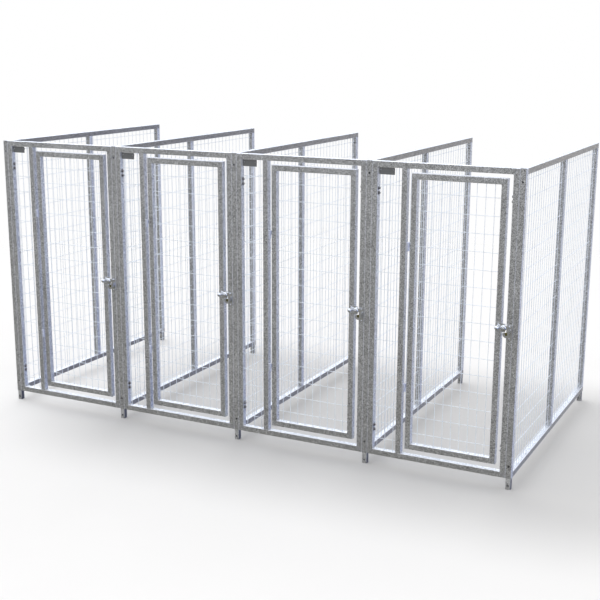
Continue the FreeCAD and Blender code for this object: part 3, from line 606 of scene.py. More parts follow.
quarter = Matrix.Rotation(math.pi / 2, 4, "Z")
for i in sides:
    low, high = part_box(f"side_mesh_{i}")
    frameLow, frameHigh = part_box(f"side_frame_{i}")
    centre = (frameLow.x + frameHigh.x) / 2
    width = (high.y - low.y - tube) / 2
    halves = []
    for part, begin in enumerate((low.y, low.y + width + tube)):
        place = Matrix.Translation((centre, begin, low.z)) @ quarter
        halves.append(meshPanel(f"sideMesh{i}_{part}", place, width, high.z - low.z, meshPlan["sideColumns"],
                                meshPlan["panelRows"], meshPlan["sideFirst"], meshPlan["panelFirstRow"],
                                10 * i + part))
    piece = joined(f"sideMesh{i}", halves)
    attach(piece, "runs")
    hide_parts(f"side_mesh_{i}")

for i in bays:
    for label, body, columns, rows, first, firstRow in (
            ("front", "runs", meshPlan["narrowColumns"], meshPlan["narrowRows"], meshPlan["narrowFirst"],
             meshPlan["narrowFirstRow"]),
            ("gate", f"gate_{i}", meshPlan["gateColumns"], meshPlan["gateRows"], meshPlan["gateFirst"],
             meshPlan["gateFirstRow"])):
        low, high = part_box(f"{label}_mesh_{i}")
        place = Matrix.Translation((low.x, 0.0, low.z))
        piece = meshPanel(f"{label}Mesh{i}", place, high.x - low.x, high.z - low.z,
                          columns, rows, first, firstRow, i + 100)
        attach(piece, body)
        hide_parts(f"{label}_mesh_{i}")
print("welded mesh made")

# turned and cut shapes, in metres

joints = {joint["name"]: Matrix.Translation(joint["pos_m"])
          for joint in frame["record"]["behaviour"]["joints"]}


def arc(across, up, radius, begin, finish, steps=8):
    # points on part of a circle, its angles in degrees from +X towards +Z
    angles = [math.radians(begin + (finish - begin) * k / steps) for k in range(steps + 1)]
    return [(across + radius * math.cos(angle), up + radius * math.sin(angle)) for angle in angles]


def roundedOutline(left, bottom, right, top, corner):
    left, bottom, right, top = left + corner, bottom + corner, right - corner, top - corner
    middles = ((right, top), (left, top), (left, bottom), (right, bottom))
    return [point for k, (across, up) in enumerate(middles)
            for point in arc(across, up, corner, 90 * k, 90 * (k + 1), 4)]


def addTurned(shape, profile, segments, place=Matrix(), ring=False):
    # a profile of (radius, height) pairs turned about Z: a solid with its ends closed, or a ring
    rounds = []
    for radius, height in profile:
        turns = [math.tau * k / segments for k in range(segments if radius > 0 else 1)]
        points = [Vector((radius * math.cos(turn), radius * math.sin(turn), height)) for turn in turns]
        rounds.append([shape.verts.new(place @ point) for point in points])
    for lower, upper in zip(rounds, rounds[1:] + rounds[:1] if ring else rounds[1:]):
        for k in range(segments):
            corners = (lower[k % len(lower)], lower[(k + 1) % len(lower)],
                       upper[(k + 1) % len(upper)], upper[k % len(upper)])
            shape.faces.new(list(dict.fromkeys(corners)))
    for rim in (rounds[0], rounds[-1]):
        if not ring and len(rim) > 1:
            shape.faces.new(rim)


def addSlab(shape, outline, front, back, finish=0):
    # an outline in X and Z cut out of plate that lies between two depths along -Y
    rims = [[shape.verts.new((x, -depth, z)) for x, z in outline] for depth in (back, front)]
    count = len(outline)
    walls = [(rims[0][k - 1], rims[0][k], rims[1][k], rims[1][k - 1]) for k in (*range(1, count), 0)]
    for corners in (*walls, rims[0], rims[1]):
        shape.faces.new(corners).material_index = finish


def soften(shape, width):
    sharp = [edge for edge in shape.edges if edge.is_manifold and edge.calc_face_angle() > math.radians(40)]
    bmesh.ops.bevel(shape, geom=sharp, offset=width, segments=2, profile=0.5, affect="EDGES",
                    clamp_overlap=True)


def shaped(name, shape, *finishes):
    # a plain object out of a finished shape
    bmesh.ops.recalc_face_normals(shape, faces=shape.faces)
    mesh = bpy.data.meshes.new(name)
    shape.to_mesh(mesh)
    shape.free()
    mesh.shade_smooth()
    mesh.set_sharp_from_angle(angle=math.radians(38))
    for finish in finishes:
        mesh.materials.append(materials[finish])
    item = bpy.data.objects.new(name, mesh)
    bpy.context.scene.collection.objects.link(item)
    return item


def handOver(piece, body, slotName, *replaced):
    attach(piece, body)
    if replaced:
        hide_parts(*replaced)


# fittings that repeat, each one set on a list of places

def buildScatterTree():
    inputs = [("Places", "Geometry", None), ("Fitting", "Object", None),
              ("Spin Axis", "Vector", (0.0, 0.0, 1.0)), ("Spin", "Float", 0.0),
              ("Seed", "Int", 0), ("Finish", "Material", None)]
    tree, start, end = newGroup("fittingsOnPlaces", "GeometryNodeTree", inputs,
                                [("Fittings", "Geometry", None)])
    given = start.outputs
    fitting = made(tree, "GeometryNodeObjectInfo", Object=given["Fitting"])
    spin = addNode(tree, "FunctionNodeRandomValue", data_type="FLOAT")
    fill(tree, spin, Max=given["Spin"], Seed=given["Seed"])
    amount = next(out for out in spin.outputs if out.enabled)
    turn = vectorNode(tree, "SCALE", given["Spin Axis"], scale=amount)
    copies = addNode(tree, "GeometryNodeInstanceOnPoints")
    fill(tree, copies, Points=given["Places"], Instance=fitting.outputs["Geometry"], Rotation=turn)
    real = addNode(tree, "GeometryNodeRealizeInstances")
    setInput(tree, real.inputs[0], copies.outputs[0])
    finish = addNode(tree, "GeometryNodeSetMaterial")
    fill(tree, finish, Geometry=real.outputs[0], Material=given["Finish"])
    setInput(tree, end.inputs[0], finish.outputs[0])
    return tree


scatterTree = buildScatterTree()


def scattered(name, shape, places, finish, spinAxis=(0.0, 0.0, 1.0), spin=0.0, seed=0):
    # one shape repeated on every place, its random turn no greater than spin
    fitting = shaped(name + "Pattern", shape, finish)
    host = bpy.data.meshes.new(name + "Places")
    host.from_pydata(places, [], [])
    piece = grown(scatterTree, name, Matrix(), host, **{
        "Fitting": fitting, "Spin Axis": spinAxis, "Spin": spin, "Seed": seed, "Finish": materials[finish]})
    bpy.data.objects.remove(fitting)
    return piece


# a turned shape's height becomes distance in front of the face, to the left or to the right
toFront = Matrix.Rotation(math.pi / 2, 4, "X")
toLeft = Matrix.Rotation(-math.pi / 2, 4, "Y")
toRight = Matrix.Rotation(math.pi / 2, 4, "Y")

# latches: each is laid out from its pivot, at the front face of the gate

latchPlan = {"bore": 0.00405, "hubRadius": 0.018, "hubBack": 0.0036, "hubFront": 0.020, "knobReach": 0.034,
             "knobOut": 0.022, "knobRadius": 0.013, "barBack": 0.008, "barFront": 0.014, "barHalf": 0.0065,
             "tongueReach": 0.028, "tongueRise": 0.008, "plate": (-0.047, -0.024, 0.0095, 0.024),
             "thick": 0.003, "keeperPlate": (0.017, -0.068, 0.049, 0.016), "hookAcross": 0.020,
             "hookDrop": 0.033, "hookOuter": 0.0195, "hookInner": 0.0165, "lipInner": 0.0065,
             "hookFront": 0.020, "hookLeftTop": -0.026, "hookRightTop": -0.010, "soft": 0.0006,
             "corner": 0.004,
             "hubRim": 0.0008, "hubShoulder": 0.0100, "hubCrown": (0.0085, 0.0098), "hubFace": 0.0100,
             "collarRadius": 0.0092, "collarHeight": 0.0022, "lipStep": 0.0004}
pivotPlan = {"shank": 0.004, "head": 0.007, "tail": 0.002, "out": 0.0204, "headHeight": 0.003,
             "headRim": 0.0008}
rivetPlan = {"head": 0.0046, "height": 0.0025, "shank": 0.0024, "grip": 0.002, "column": 0.032,
             "latchRise": 0.017, "keeperHigh": 0.008, "keeperLow": -0.060}


def domeProfile(radius, height, base, steps=5):
    # from the rim of a low dome up to its middle
    turns = [math.pi / 2 * k / steps for k in range(steps + 1)]
    return [(radius * math.cos(turn) if turn < math.pi / 2 else 0.0, base + height * math.sin(turn))
            for turn in turns]


def leverShape(plan):
    shape = bmesh.new()
    rise, half, reach = plan["tongueRise"], plan["barHalf"], plan["tongueReach"]
    bar = [(-plan["knobReach"], -half), (0.0, -half), *arc(reach, rise, half, -90, 90), (0.0, rise + half),
           *arc(-plan["knobReach"], 0.0, half, 90, 270)[:-1]]
    addSlab(shape, bar, plan["barFront"], plan["barBack"])
    soften(shape, plan["soft"] * 3)
    bore, edge, front, back = plan["bore"], plan["hubRadius"], plan["hubFront"], plan["hubBack"]
    rim, crown, shoulder = plan["hubRim"], plan["hubCrown"], plan["hubShoulder"]
    belly = [(edge - crown[0] * (1 - math.cos(turn)), shoulder + crown[1] * math.sin(turn))
             for turn in map(math.radians, range(0, 91, 15))]
    hub = [(bore, back), (edge - rim, back), (edge, back + rim), *belly,
           (edge - plan["hubFace"], front), (bore, front)]
    addTurned(shape, hub, 40, toFront, ring=True)
    knobPlace = Matrix.Translation((-plan["knobReach"], 0.0, 0.0)) @ toFront
    radius, out = plan["knobRadius"], plan["knobOut"]
    ball = [(radius * math.sin(math.radians(turn)), out - radius * math.cos(math.radians(turn)))
            for turn in range(30, 180, 10)]
    wide, barBack, soft = plan["collarRadius"], plan["barBack"], plan["soft"]
    collar = [(wide - soft, barBack - soft), (wide, barBack), (wide, barBack + plan["collarHeight"])]
    addTurned(shape, [*collar, *ball, (0.0, out + radius)], 40, knobPlace)
    return shape


def keeperShape(plan):
    shape = bmesh.new()
    thick, across, drop, outer = plan["thick"], plan["hookAcross"], -plan["hookDrop"], plan["hookOuter"]
    leftTop, rightTop = plan["hookLeftTop"], plan["hookRightTop"]

    def hook(inner):
        return [(across + outer, rightTop), *arc(across, drop, outer, 0, -180, 20),
                (across - outer, leftTop), (across - inner, leftTop),
                *arc(across, drop, inner, -180, 0, 20), (across + inner, rightTop)]

    addSlab(shape, roundedOutline(*plan["keeperPlate"], plan["corner"]), thick, 0.0)
    addSlab(shape, hook(plan["hookInner"]), plan["hookFront"] - plan["lipStep"], thick)
    addSlab(shape, hook(plan["lipInner"]), plan["hookFront"], plan["hookFront"] - thick)
    back = [(across - outer, leftTop), *arc(across, drop, outer, 180, 360, 20), (across + outer, leftTop)]
    # the backing behind the hook, in the same yellow-green darkened as painted shade
    addSlab(shape, back, 2 * thick, thick, finish=1)
    soften(shape, plan["soft"])
    return shape


def shadedYellowHollow(piece, plan):
    # the hook's hollow side, in the plating's yellow-green darkened as painted shade
    mesh = piece.data
    for face in mesh.polygons:
        x, z = face.center.x - plan["hookAcross"], face.center.z + plan["hookDrop"]
        inside = math.hypot(x, min(z, 0.0)) < plan["hookInner"] + 0.0002
        deep = -plan["hookFront"] + plan["thick"] + 0.0002 < face.center.y < -plan["thick"] - 0.0002
        if inside and deep:
            face.material_index = 1


def latchPlateShape(plan):
    shape = bmesh.new()
    addSlab(shape, roundedOutline(*plan["plate"], plan["corner"]), plan["thick"], 0.0)
    soften(shape, plan["soft"])
    return shape


def pivotShape(plan):
    shape = bmesh.new()
    head, shank, out, rim = plan["head"], plan["shank"], plan["out"], plan["headRim"]
    addTurned(shape, [(head, -plan["tail"]), (head, 0.0), (shank, 0.0), (shank, out), (head, out),
                      *domeProfile(head, plan["headHeight"] - rim, out + rim)], 28, toFront)
    return shape


def rivetShape(plan, base):
    shape = bmesh.new()
    stem = [(plan["shank"], -plan["grip"]), (plan["shank"], base)]
    addTurned(shape, [*stem, *domeProfile(plan["head"], plan["height"], base)], 16, toFront)
    return shape


keeperRivetPlaces = []
for i in bays:
    place = joints[f"latch_{i}_pivot"]
    lever = shaped(f"latchLever{i}", leverShape(latchPlan), "polishedSteel")
    keeper = shaped(f"latchKeeper{i}", keeperShape(latchPlan), "polishedSteel", "shadedYellowZinc")
    shadedYellowHollow(keeper, latchPlan)
    plate = shaped(f"latchPlate{i}", latchPlateShape(latchPlan), "polishedSteel")
    pivot = shaped(f"latchPivot{i}", pivotShape(pivotPlan), "polishedSteel")
    for piece in (lever, keeper, plate, pivot):
        piece.data.transform(place)
    rivetPlaces = [place @ Matrix.Translation((-rivetPlan["column"], 0.0, way * rivetPlan["latchRise"]))
                   for way in (1, -1)]
    keeperRivetPlaces += [(place @ Matrix.Translation((rivetPlan["column"], 0.0, height))).to_translation()
                          for height in (rivetPlan["keeperHigh"], rivetPlan["keeperLow"])]
    rivets = scattered(f"latchRivets{i}", rivetShape(rivetPlan, latchPlan["thick"]),
                       [matrix.to_translation() for matrix in rivetPlaces], "polishedSteel",
                       (0.0, 1.0, 0.0), 0.6, i)
    handOver(lever, f"latch_{i}", "polished_steel", f"latch_lever_{i}")
    handOver(keeper, "runs", "polished_steel", f"latch_keeper_{i}")
    handOver(plate, f"gate_{i}", "polished_steel", f"latch_plate_{i}")
    handOver(pivot, f"gate_{i}", "polished_steel", f"latch_pivot_{i}")
    handOver(rivets, f"gate_{i}", "polished_steel", f"latch_rivets_{i}")
keeperRivets = scattered("keeperRivets", rivetShape(rivetPlan, latchPlan["thick"]), keeperRivetPlaces,
                         "polishedSteel", (0.0, 1.0, 0.0), 0.6, 9)
handOver(keeperRivets, "runs", "polished_steel", "keeper_rivets")
print("latches made")

# lift-off hinges: barrels with welded leaves, and headed pins

hingePlan = {"barrel": 0.0105, "pin": 0.005, "clearance": 0.00005, "gap": 0.001, "height": 0.0235,
             "leafEdge": 0.012, "leafThick": 0.004, "leafDepth": 0.030, "rim": 0.0008, "pinHead": 0.0075,
             "pinHeadHeight": 0.003, "pinHeadGap": 0.0004, "pinTip": 0.0006}


def knuckleShape(plan, side, bottom, bore):
    shape = bmesh.new()
    edge, near = side * plan["leafEdge"], side * (plan["leafEdge"] - plan["leafThick"])
    top = bottom + plan["height"]
    addSlab(shape, [(edge, bottom), (near, bottom), (near, top), (edge, top)], 0.0, -plan["leafDepth"])
    soften(shape, plan["rim"] / 2)
    rim, barrel = plan["rim"], plan["barrel"]
    outside = [(barrel - rim, bottom), (barrel, bottom + rim), (barrel, top - rim), (barrel - rim, top)]
    addTurned(shape, [(bore, bottom + rim / 2), (bore + rim / 2, bottom), *outside,
                      (bore + rim / 2, top), (bore, top - rim / 2)], 32, ring=True)
    return shape


def hingePinShape(plan):
    shape = bmesh.new()
    low, high = -plan["gap"] / 2 - plan["height"], plan["gap"] / 2 + plan["height"] + plan["pinHeadGap"]
    pin, head, tip, rim = plan["pin"], plan["pinHead"], plan["pinTip"], plan["rim"]
    addTurned(shape, [(pin - tip, low), (pin, low + tip), (pin, high), (head, high),
                      *domeProfile(head, plan["pinHeadHeight"] - rim, high + rim)], 28)
    return shape


hingePlaces = []
for i in bays:
    x, y, low = joints[f"gate_{i}_hinge"].to_translation()
    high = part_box(f"gate_hinge_knuckles_{i}")[1].z - hingePlan["height"] - hingePlan["gap"] / 2
    places = [(x, y, low), (x, y, high)]
    hingePlaces += places
    knuckle = knuckleShape(hingePlan, 1, hingePlan["gap"] / 2, hingePlan["pin"] + hingePlan["clearance"])
    piece = scattered(f"gateKnuckles{i}", knuckle, places, "zincFitting")
    handOver(piece, f"gate_{i}", "zinc_fittings", f"gate_hinge_knuckles_{i}")
lowKnuckle = knuckleShape(hingePlan, -1, -hingePlan["gap"] / 2 - hingePlan["height"], hingePlan["pin"])
frameKnuckles = scattered("frameKnuckles", lowKnuckle, hingePlaces, "zincFitting")
handOver(frameKnuckles, "runs", "zinc_fittings", "frame_hinge_knuckles")
hingePins = scattered("hingePins", hingePinShape(hingePlan), hingePlaces, "zincFitting")
handOver(hingePins, "runs", "zinc_fittings", "hinge_pins")
print("hinges made")

# bolts, nuts and washers between the panels

boltPlan = {"spread": 0.014, "shank": 0.004, "across": 0.013, "headHeight": 0.0053, "nutHeight": 0.0068,
            "washer": 0.011, "washerBore": 0.00425, "washerThick": 0.0016, "tail": 0.0025, "chamfer": 0.0007,
            "levelsApart": 14, "endGrip": 0.037, "thread": 0.00125, "threadDepth": 0.0004,
            "washerRim": 0.0003, "spin": 1.5}


def boltShape(plan, grip, place, nut=True):
    # a washer and head ahead of the tubes, and behind them a washer, nut and threaded tail
    shape = bmesh.new()
    thick, chamfer = plan["washerThick"], plan["chamfer"]
    corner = plan["across"] / math.sqrt(3)

    def washer(bottom):
        inner, outer, rim, top = plan["washerBore"], plan["washer"], plan["washerRim"], bottom + thick
        addTurned(shape, [(inner, bottom), (outer - rim, bottom), (outer, bottom + rim), (outer, top - rim),
                          (outer - rim, top), (inner, top)], 24, place, ring=True)

    washer(0.0)
    shank, face = plan["shank"], corner - 1.6 * chamfer
    head = thick + plan["headHeight"]
    addTurned(shape, [(corner, thick), (corner, head - chamfer), (face, head)], 6, place)
    tail = -grip - (thick + plan["nutHeight"] + plan["tail"] if nut else plan["nutHeight"])
    threads = [(shank - (plan["threadDepth"] if k % 2 else 0.0), tail + k * plan["thread"] / 2)
               for k in range(9)]
    addTurned(shape, [*threads, (shank, thick)], 12, place)
    nutTop = -grip - (thick if nut else 0.0)
    nutEnd = nutTop - plan["nutHeight"]
    if nut:
        washer(-grip - thick)
    addTurned(shape, [(shank, nutEnd), (face, nutEnd), (corner, nutEnd + chamfer), (corner, nutTop - chamfer),
                      (face, nutTop), (shank, nutTop)], 6, place, ring=True)
    return shape


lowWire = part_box("front_mesh_1")[0].z + meshPlan["panelFirstRow"] + meshPlan["rise"]
levels = [lowWire + k * boltPlan["levelsApart"] * meshPlan["rise"] + way * boltPlan["spread"]
          for k in (0, 1) for way in (-1, 1)]
gapLefts = [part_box(f"front_frame_{i}")[1].x - tube for i in bays]
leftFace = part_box("front_frame_1")[0].x + tube
boltSets = (("innerBolts", gapLefts[:-1], 3 * tube, toLeft, True),
            ("rightBolts", gapLefts[-1:], boltPlan["endGrip"], toLeft, False),
            ("leftBolts", [leftFace], boltPlan["endGrip"], toRight, False))
boltPieces = []
for seed, (name, faces, grip, turn, nut) in enumerate(boltSets, 3):
    places = [(x, 0.0, z) for x in faces for z in levels]
    boltPieces.append(scattered(name, boltShape(boltPlan, grip, turn, nut), places, "darkZinc",
                                (1.0, 0.0, 0.0), boltPlan["spin"], seed))
panelBolts = joined("panelBolts", boltPieces)
handOver(panelBolts, "runs", "dark_zinc", "panel_bolts", "bolt_nuts", "bolt_washers")
print("bolts made")

# blank identity plates

platePlan = {"corner": 0.003, "soft": 0.0004, "inset": 0.010, "drop": 0.014, "head": 0.0042,
             "headHeight": 0.0022, "shank": 0.002, "washer": 0.007, "washerRim": 0.0003,
             "washerThick": 0.0015, "socket": 0.0012, "socketFloor": 0.0009}

lowest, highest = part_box("identity_plates")
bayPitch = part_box("front_frame_2")[0].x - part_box("front_frame_1")[0].x
plateWidth = highest.x - lowest.x - 3 * bayPitch
shape = bmesh.new()
screwPlaces = []
for i in bays:
    left = lowest.x + (i - 1) * bayPitch
    addSlab(shape, roundedOutline(left, lowest.z, left + plateWidth, highest.z, platePlan["corner"]),
            -lowest.y, -highest.y)
    screwPlaces += [(left + across, 0.0, highest.z - platePlan["drop"])
                    for across in (platePlan["inset"], plateWidth - platePlan["inset"])]
soften(shape, platePlan["soft"])
handOver(shaped("identityPlates", shape, "darkPlate"), "runs", "dark_plate", "identity_plates")


def plateScrewShape(plan, front, back):
    # a domed head with a round drive, a shank through the mesh and a washer behind it
    shape = bmesh.new()
    dome = domeProfile(plan["head"], plan["headHeight"], front)[:-1]
    shank, washer, rim, thick = plan["shank"], plan["washer"], plan["washerRim"], plan["washerThick"]
    socket = front + plan["socketFloor"]
    addTurned(shape, [(shank, -back), (shank, front), *dome, (plan["socket"], socket), (0.0, socket)], 18,
              toFront)
    addTurned(shape, [(shank, -back), (washer - rim, -back), (washer, -back + rim),
                      (washer, -back + thick - rim), (washer - rim, -back + thick),
                      (shank, -back + thick)], 20, toFront, ring=True)
    return shape


plateScrews = scattered("plateScrews", plateScrewShape(platePlan, -lowest.y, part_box("plate_screws")[1].y),
                        screwPlaces, "darkZinc", (0.0, 1.0, 0.0), 3.0, 6)
handOver(plateScrews, "runs", "dark_zinc", "plate_screws", "plate_washers")
print("identity plates made")

# weld beads: rippled fillets in the corners of each opening, and low seams across the mitres

beadPlan = {"radius": 0.0022, "seamRadius": 0.0016, "seamSink": 0.0009, "step": 0.0025, "ripple": 0.0009,
            "rippleScale": 260.0, "inset": 0.0006, "fromFace": 0.003}


def buildBeadTree():
    inputs = [("Lines", "Geometry", None), ("Radius", "Float", 0.002),
              ("Step", "Float", 0.003), ("Ripple", "Float", 0.001),
              ("Finish", "Material", None)]
    tree, start, end = newGroup("weldBead", "GeometryNodeTree", inputs, [("Beads", "Geometry", None)])
    given = start.outputs
    path = made(tree, "GeometryNodeMeshToCurve", Mesh=given["Lines"])
    cut = addNode(tree, "GeometryNodeResampleCurve", mode="LENGTH")
    fill(tree, cut, Curve=path.outputs[0], Length=given["Step"])
    section = made(tree, "GeometryNodeCurvePrimitiveCircle", Resolution=6, Radius=given["Radius"])
    bead = addNode(tree, "GeometryNodeCurveToMesh")
    fill(tree, bead, Curve=cut.outputs[0], Profile_Curve=section.outputs[0], Fill_Caps=True)
    place = addNode(tree, "GeometryNodeInputPosition").outputs[0]
    uneven = noise(tree, place, beadPlan["rippleScale"], 1.0)[0]
    swell = times(tree, minus(tree, uneven, 0.5), given["Ripple"])
    out = vectorNode(tree, "SCALE", addNode(tree, "GeometryNodeInputNormal").outputs[0], scale=swell)
    rippled = made(tree, "GeometryNodeSetPosition", Geometry=bead.outputs[0], Offset=out)
    smooth = addNode(tree, "GeometryNodeSetShadeSmooth")
    setInput(tree, smooth.inputs[0], rippled.outputs[0])
    real = addNode(tree, "GeometryNodeRealizeInstances")
    setInput(tree, real.inputs[0], smooth.outputs[0])
    finish = addNode(tree, "GeometryNodeSetMaterial")
    fill(tree, finish, Geometry=real.outputs[0], Material=given["Finish"])
    setInput(tree, end.inputs[0], finish.outputs[0])
    return tree


beadTree = buildBeadTree()


def beads(name, lines, radius):
    host = bpy.data.meshes.new(name + "Lines")
    points = [point for line in lines for point in line]
    host.from_pydata(points, [(k, k + 1) for k in range(0, len(points), 2)], [])
    return grown(beadTree, name, Matrix(), host, Radius=radius, Step=beadPlan["step"],
                 Ripple=beadPlan["ripple"], Finish=materials["weldZinc"])


def openingCorners(lowX, highX, lowZ, highZ, lowY, highY):
    # the four corner lines of an opening that looks along Y, from front to back
    inset, short = beadPlan["inset"], beadPlan["fromFace"]
    return [((x, lowY + short, z), (x, highY - short, z))
            for x in (lowX + inset, highX - inset) for z in (lowZ + inset, highZ - inset)]


def mitreSeams(lowX, highX, lowZ, highZ, lowY, highY, bottom=True):
    # the diagonal seams on the front and back faces at a frame's outer corners
    sink, short = beadPlan["seamSink"], beadPlan["fromFace"]
    seams = []
    for y in (lowY + sink, highY - sink):
        for x, inward in ((lowX, 1), (highX, -1)):
            for z, up in ((highZ, -1), (lowZ, 1))[:2 if bottom else 1]:
                seams.append(((x + inward * short, y, z + up * short),
                              (x + inward * (tube - short), y, z + up * (tube - short))))
    return seams


def turnedSide(lines, x):
    # lines of a side panel, laid out along X, turned to run along Y
    return [tuple((x - across, along, up) for along, across, up in line) for line in lines]


fillets, seams = [], []
for i in sides:
    low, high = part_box(f"side_frame_{i}")
    meshLow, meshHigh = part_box(f"side_mesh_{i}")
    centre, half = (low.x + high.x) / 2, tube / 2
    depth = (meshHigh.y - meshLow.y - tube) / 2
    for begin in (meshLow.y, meshLow.y + depth + tube):
        corners = openingCorners(begin, begin + depth, meshLow.z, meshHigh.z, -half, half)
        fillets += turnedSide(corners, centre)
    seams += turnedSide(mitreSeams(low.y, high.y, low.z, high.z, -half, half, bottom=False), centre)
for i in bays:
    low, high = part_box(f"front_frame_{i}")
    meshLow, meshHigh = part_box(f"front_mesh_{i}")
    fillets += openingCorners(meshLow.x, meshHigh.x, meshLow.z, meshHigh.z, low.y, high.y)
    fillets += openingCorners(meshHigh.x + tube, high.x - tube, meshLow.z, meshHigh.z, low.y, high.y)
    seams += mitreSeams(low.x, high.x, low.z, high.z, low.y, high.y)
    gateLow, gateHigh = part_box(f"gate_frame_{i}")
    innerLow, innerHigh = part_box(f"gate_mesh_{i}")
    corners = openingCorners(innerLow.x, innerHigh.x, innerLow.z, innerHigh.z, gateLow.y, gateHigh.y)
    mitres = mitreSeams(gateLow.x, gateHigh.x, gateLow.z, gateHigh.z, gateLow.y, gateHigh.y)
    gateBeads = joined(f"gateWelds{i}", [beads(f"gateFillets{i}", corners, beadPlan["radius"]),
                                         beads(f"gateSeams{i}", mitres, beadPlan["seamRadius"])])
    handOver(gateBeads, f"gate_{i}", "galvanised_tube")
panelBeads = joined("panelWelds", [beads("panelFillets", fillets, beadPlan["radius"]),
                                   beads("panelSeams", seams, beadPlan["seamRadius"])])
handOver(panelBeads, "runs", "galvanised_tube")
print("weld beads made")

# floor, light and camera

stagePlan = {"floorRadius": 9.0, "fadeFrom": 5.0, "floorColour": (0.905, 0.90, 0.90), "softStrength": 0.92,
             "keyStrength": 0.8, "keyAngle": 60.0, "keyTurn": (0.0, -38.0, -35.0), "keyGloss": 0.3,
             "mottleScale": 1.2, "mottle": 0.03, "fadeShort": 0.3}
shadePlan = {"centre": (0.75, 0.70, 0.0), "half": (1.45, 0.80, 0.0), "reach": 0.95, "depth": 0.25}
studioPlan = {"front": (0.253, 0.253, 0.245, 1), "side": (0.43, 0.53, 0.90, 1),
              "above": (1.15, 1.22, 1.38, 1), "behind": (1.05, 1.05, 1.02, 1),
              "behindFrom": 0.84, "behindTo": 0.94, "below": (0.16, 0.155, 0.13, 1),
              "acrossShare": 0.8, "inwardShare": 0.6, "turnFrom": -0.30,
              "turnTo": 0.55, "riseFrom": 0.0, "riseTo": 0.35, "dropFrom": -0.35, "dropTo": -0.70}


def faded(tree, value, low, high, atLow=0.0, atHigh=1.0):
    # a smooth step of a value from one end to the other
    node = addNode(tree, "ShaderNodeMapRange", interpolation_type="SMOOTHSTEP")
    for socket, given in zip(node.inputs, (value, low, high, atLow, atHigh)):
        setInput(tree, socket, given)
    return node.outputs[0]


def makeFloor():
    floorMesh = bpy.data.meshes.new("floor")
    shape = bmesh.new()
    bmesh.ops.create_circle(shape, cap_ends=True, segments=96, radius=stagePlan["floorRadius"])
    shape.to_mesh(floorMesh)
    shape.free()
    floor = bpy.data.objects.new("floor", floorMesh)
    bpy.context.scene.collection.objects.link(floor)
    floor.location = (0.0, 0.0, -0.0005)
    material, tree, shader = newMaterial("floorPaint", Roughness=0.9)
    shader.inputs["Specular IOR Level"].default_value = 0.0
    place = objectPlace(tree)
    mottle = noise(tree, place, stagePlan["mottleScale"], 2.0)[0]
    tone = plus(tree, 1.0 - stagePlan["mottle"] / 2, times(tree, mottle, stagePlan["mottle"]))
    # a painted shadow: a soft darker patch under and in front of the row
    beside = vectorNode(tree, "ABSOLUTE", vectorNode(tree, "SUBTRACT", place, shadePlan["centre"]))
    outside = vectorNode(tree, "MAXIMUM", vectorNode(tree, "SUBTRACT", beside, shadePlan["half"]), (0, 0, 0))
    shade = faded(tree, vectorNode(tree, "LENGTH", outside), 0.0, shadePlan["reach"],
                  1.0 - shadePlan["depth"], 1.0)
    tone = times(tree, tone, shade)
    setInput(tree, shader.inputs["Base Color"], scaled(tree, stagePlan["floorColour"], tone))
    fade = faded(tree, vectorNode(tree, "LENGTH", place), stagePlan["fadeFrom"],
                 stagePlan["floorRadius"] - stagePlan["fadeShort"])
    path = addNode(tree, "ShaderNodeLightPath")
    hidden = mathNode(tree, "MAXIMUM", fade, path.outputs["Is Glossy Ray"])
    clear = addNode(tree, "ShaderNodeBsdfTransparent")
    blend = addNode(tree, "ShaderNodeMixShader")
    for socket, value in zip(blend.inputs, (hidden, shader.outputs[0], clear.outputs[0])):
        setInput(tree, socket, value)
    setInput(tree, tree.nodes["Material Output"].inputs[0], blend.outputs[0])
    floorMesh.materials.append(material)


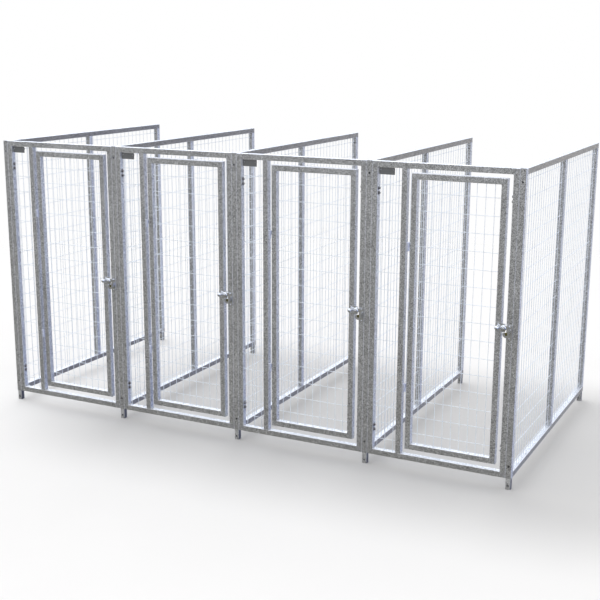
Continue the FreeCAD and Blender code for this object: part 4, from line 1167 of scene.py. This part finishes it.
def makeWorld():
    # plain white to look at, even white for soft light, and a studio of soft tones for reflections
    world = bpy.data.worlds.new("studio")
    bpy.context.scene.world = world
    world.use_nodes = True
    tree = world.node_tree
    tree.nodes.clear()
    direction = addNode(tree, "ShaderNodeTexCoord").outputs["Generated"]
    parts = splitVector(tree, direction)
    plan = studioPlan
    sideways = plus(tree, times(tree, parts[0], plan["acrossShare"]),
                    times(tree, parts[1], plan["inwardShare"]))
    level = mixed(tree, faded(tree, sideways, plan["turnFrom"], plan["turnTo"]), plan["front"], plan["side"])
    level = mixed(tree, faded(tree, parts[1], plan["behindFrom"], plan["behindTo"]), level, plan["behind"])
    drop = times(tree, parts[2], -1.0)
    level = mixed(tree, faded(tree, drop, -plan["dropFrom"], -plan["dropTo"]), level, plan["below"])
    studio = mixed(tree, faded(tree, parts[2], plan["riseFrom"], plan["riseTo"]), level, plan["above"])
    path = addNode(tree, "ShaderNodeLightPath")
    soft = made(tree, "ShaderNodeBackground", Color=(1, 1, 1, 1),
                Strength=stagePlan["softStrength"])
    seen = made(tree, "ShaderNodeBackground", Color=(1, 1, 1, 1), Strength=1.0)
    gloss = made(tree, "ShaderNodeBackground", Color=studio, Strength=1.0)
    first = addNode(tree, "ShaderNodeMixShader")
    second = addNode(tree, "ShaderNodeMixShader")
    output = addNode(tree, "ShaderNodeOutputWorld")
    choices = ((first, "Is Glossy Ray", (soft, gloss)), (second, "Is Camera Ray", (first, seen)))
    for mix, ray, shaders in choices:
        for socket, value in zip(mix.inputs, (path.outputs[ray], *(shader.outputs[0] for shader in shaders))):
            setInput(tree, socket, value)
    setInput(tree, output.inputs[0], second.outputs[0])


def makeLight():
    key = bpy.data.lights.new("key", "SUN")
    key.energy = stagePlan["keyStrength"]
    key.angle = math.radians(stagePlan["keyAngle"])
    key.specular_factor = stagePlan["keyGloss"]
    lamp = bpy.data.objects.new("key", key)
    lamp.rotation_euler = [math.radians(angle) for angle in stagePlan["keyTurn"]]
    bpy.context.scene.collection.objects.link(lamp)


cameraPlan = {"place": (3.3084, -5.7182, 2.4599), "azimuth": 26.624, "fall": 13.177, "roll": 0.233,
              "lens": 65.18}


def makeCamera():
    camera = bpy.data.cameras.new("camera")
    camera.lens = cameraPlan["lens"]
    camera.sensor_width = 36.0
    camera.clip_end = 60.0
    holder = bpy.data.objects.new("camera", camera)
    turn = (Matrix.Rotation(math.radians(cameraPlan["azimuth"]), 4, "Z")
            @ Matrix.Rotation(math.radians(90 - cameraPlan["fall"]), 4, "X")
            @ Matrix.Rotation(math.radians(cameraPlan["roll"]), 4, "Z"))
    holder.matrix_world = Matrix.Translation(cameraPlan["place"]) @ turn
    bpy.context.scene.collection.objects.link(holder)
    bpy.context.scene.camera = holder


makeFloor()
makeWorld()
makeLight()
makeCamera()
bpy.context.scene.view_settings.view_transform = "Standard"
print("stage set")
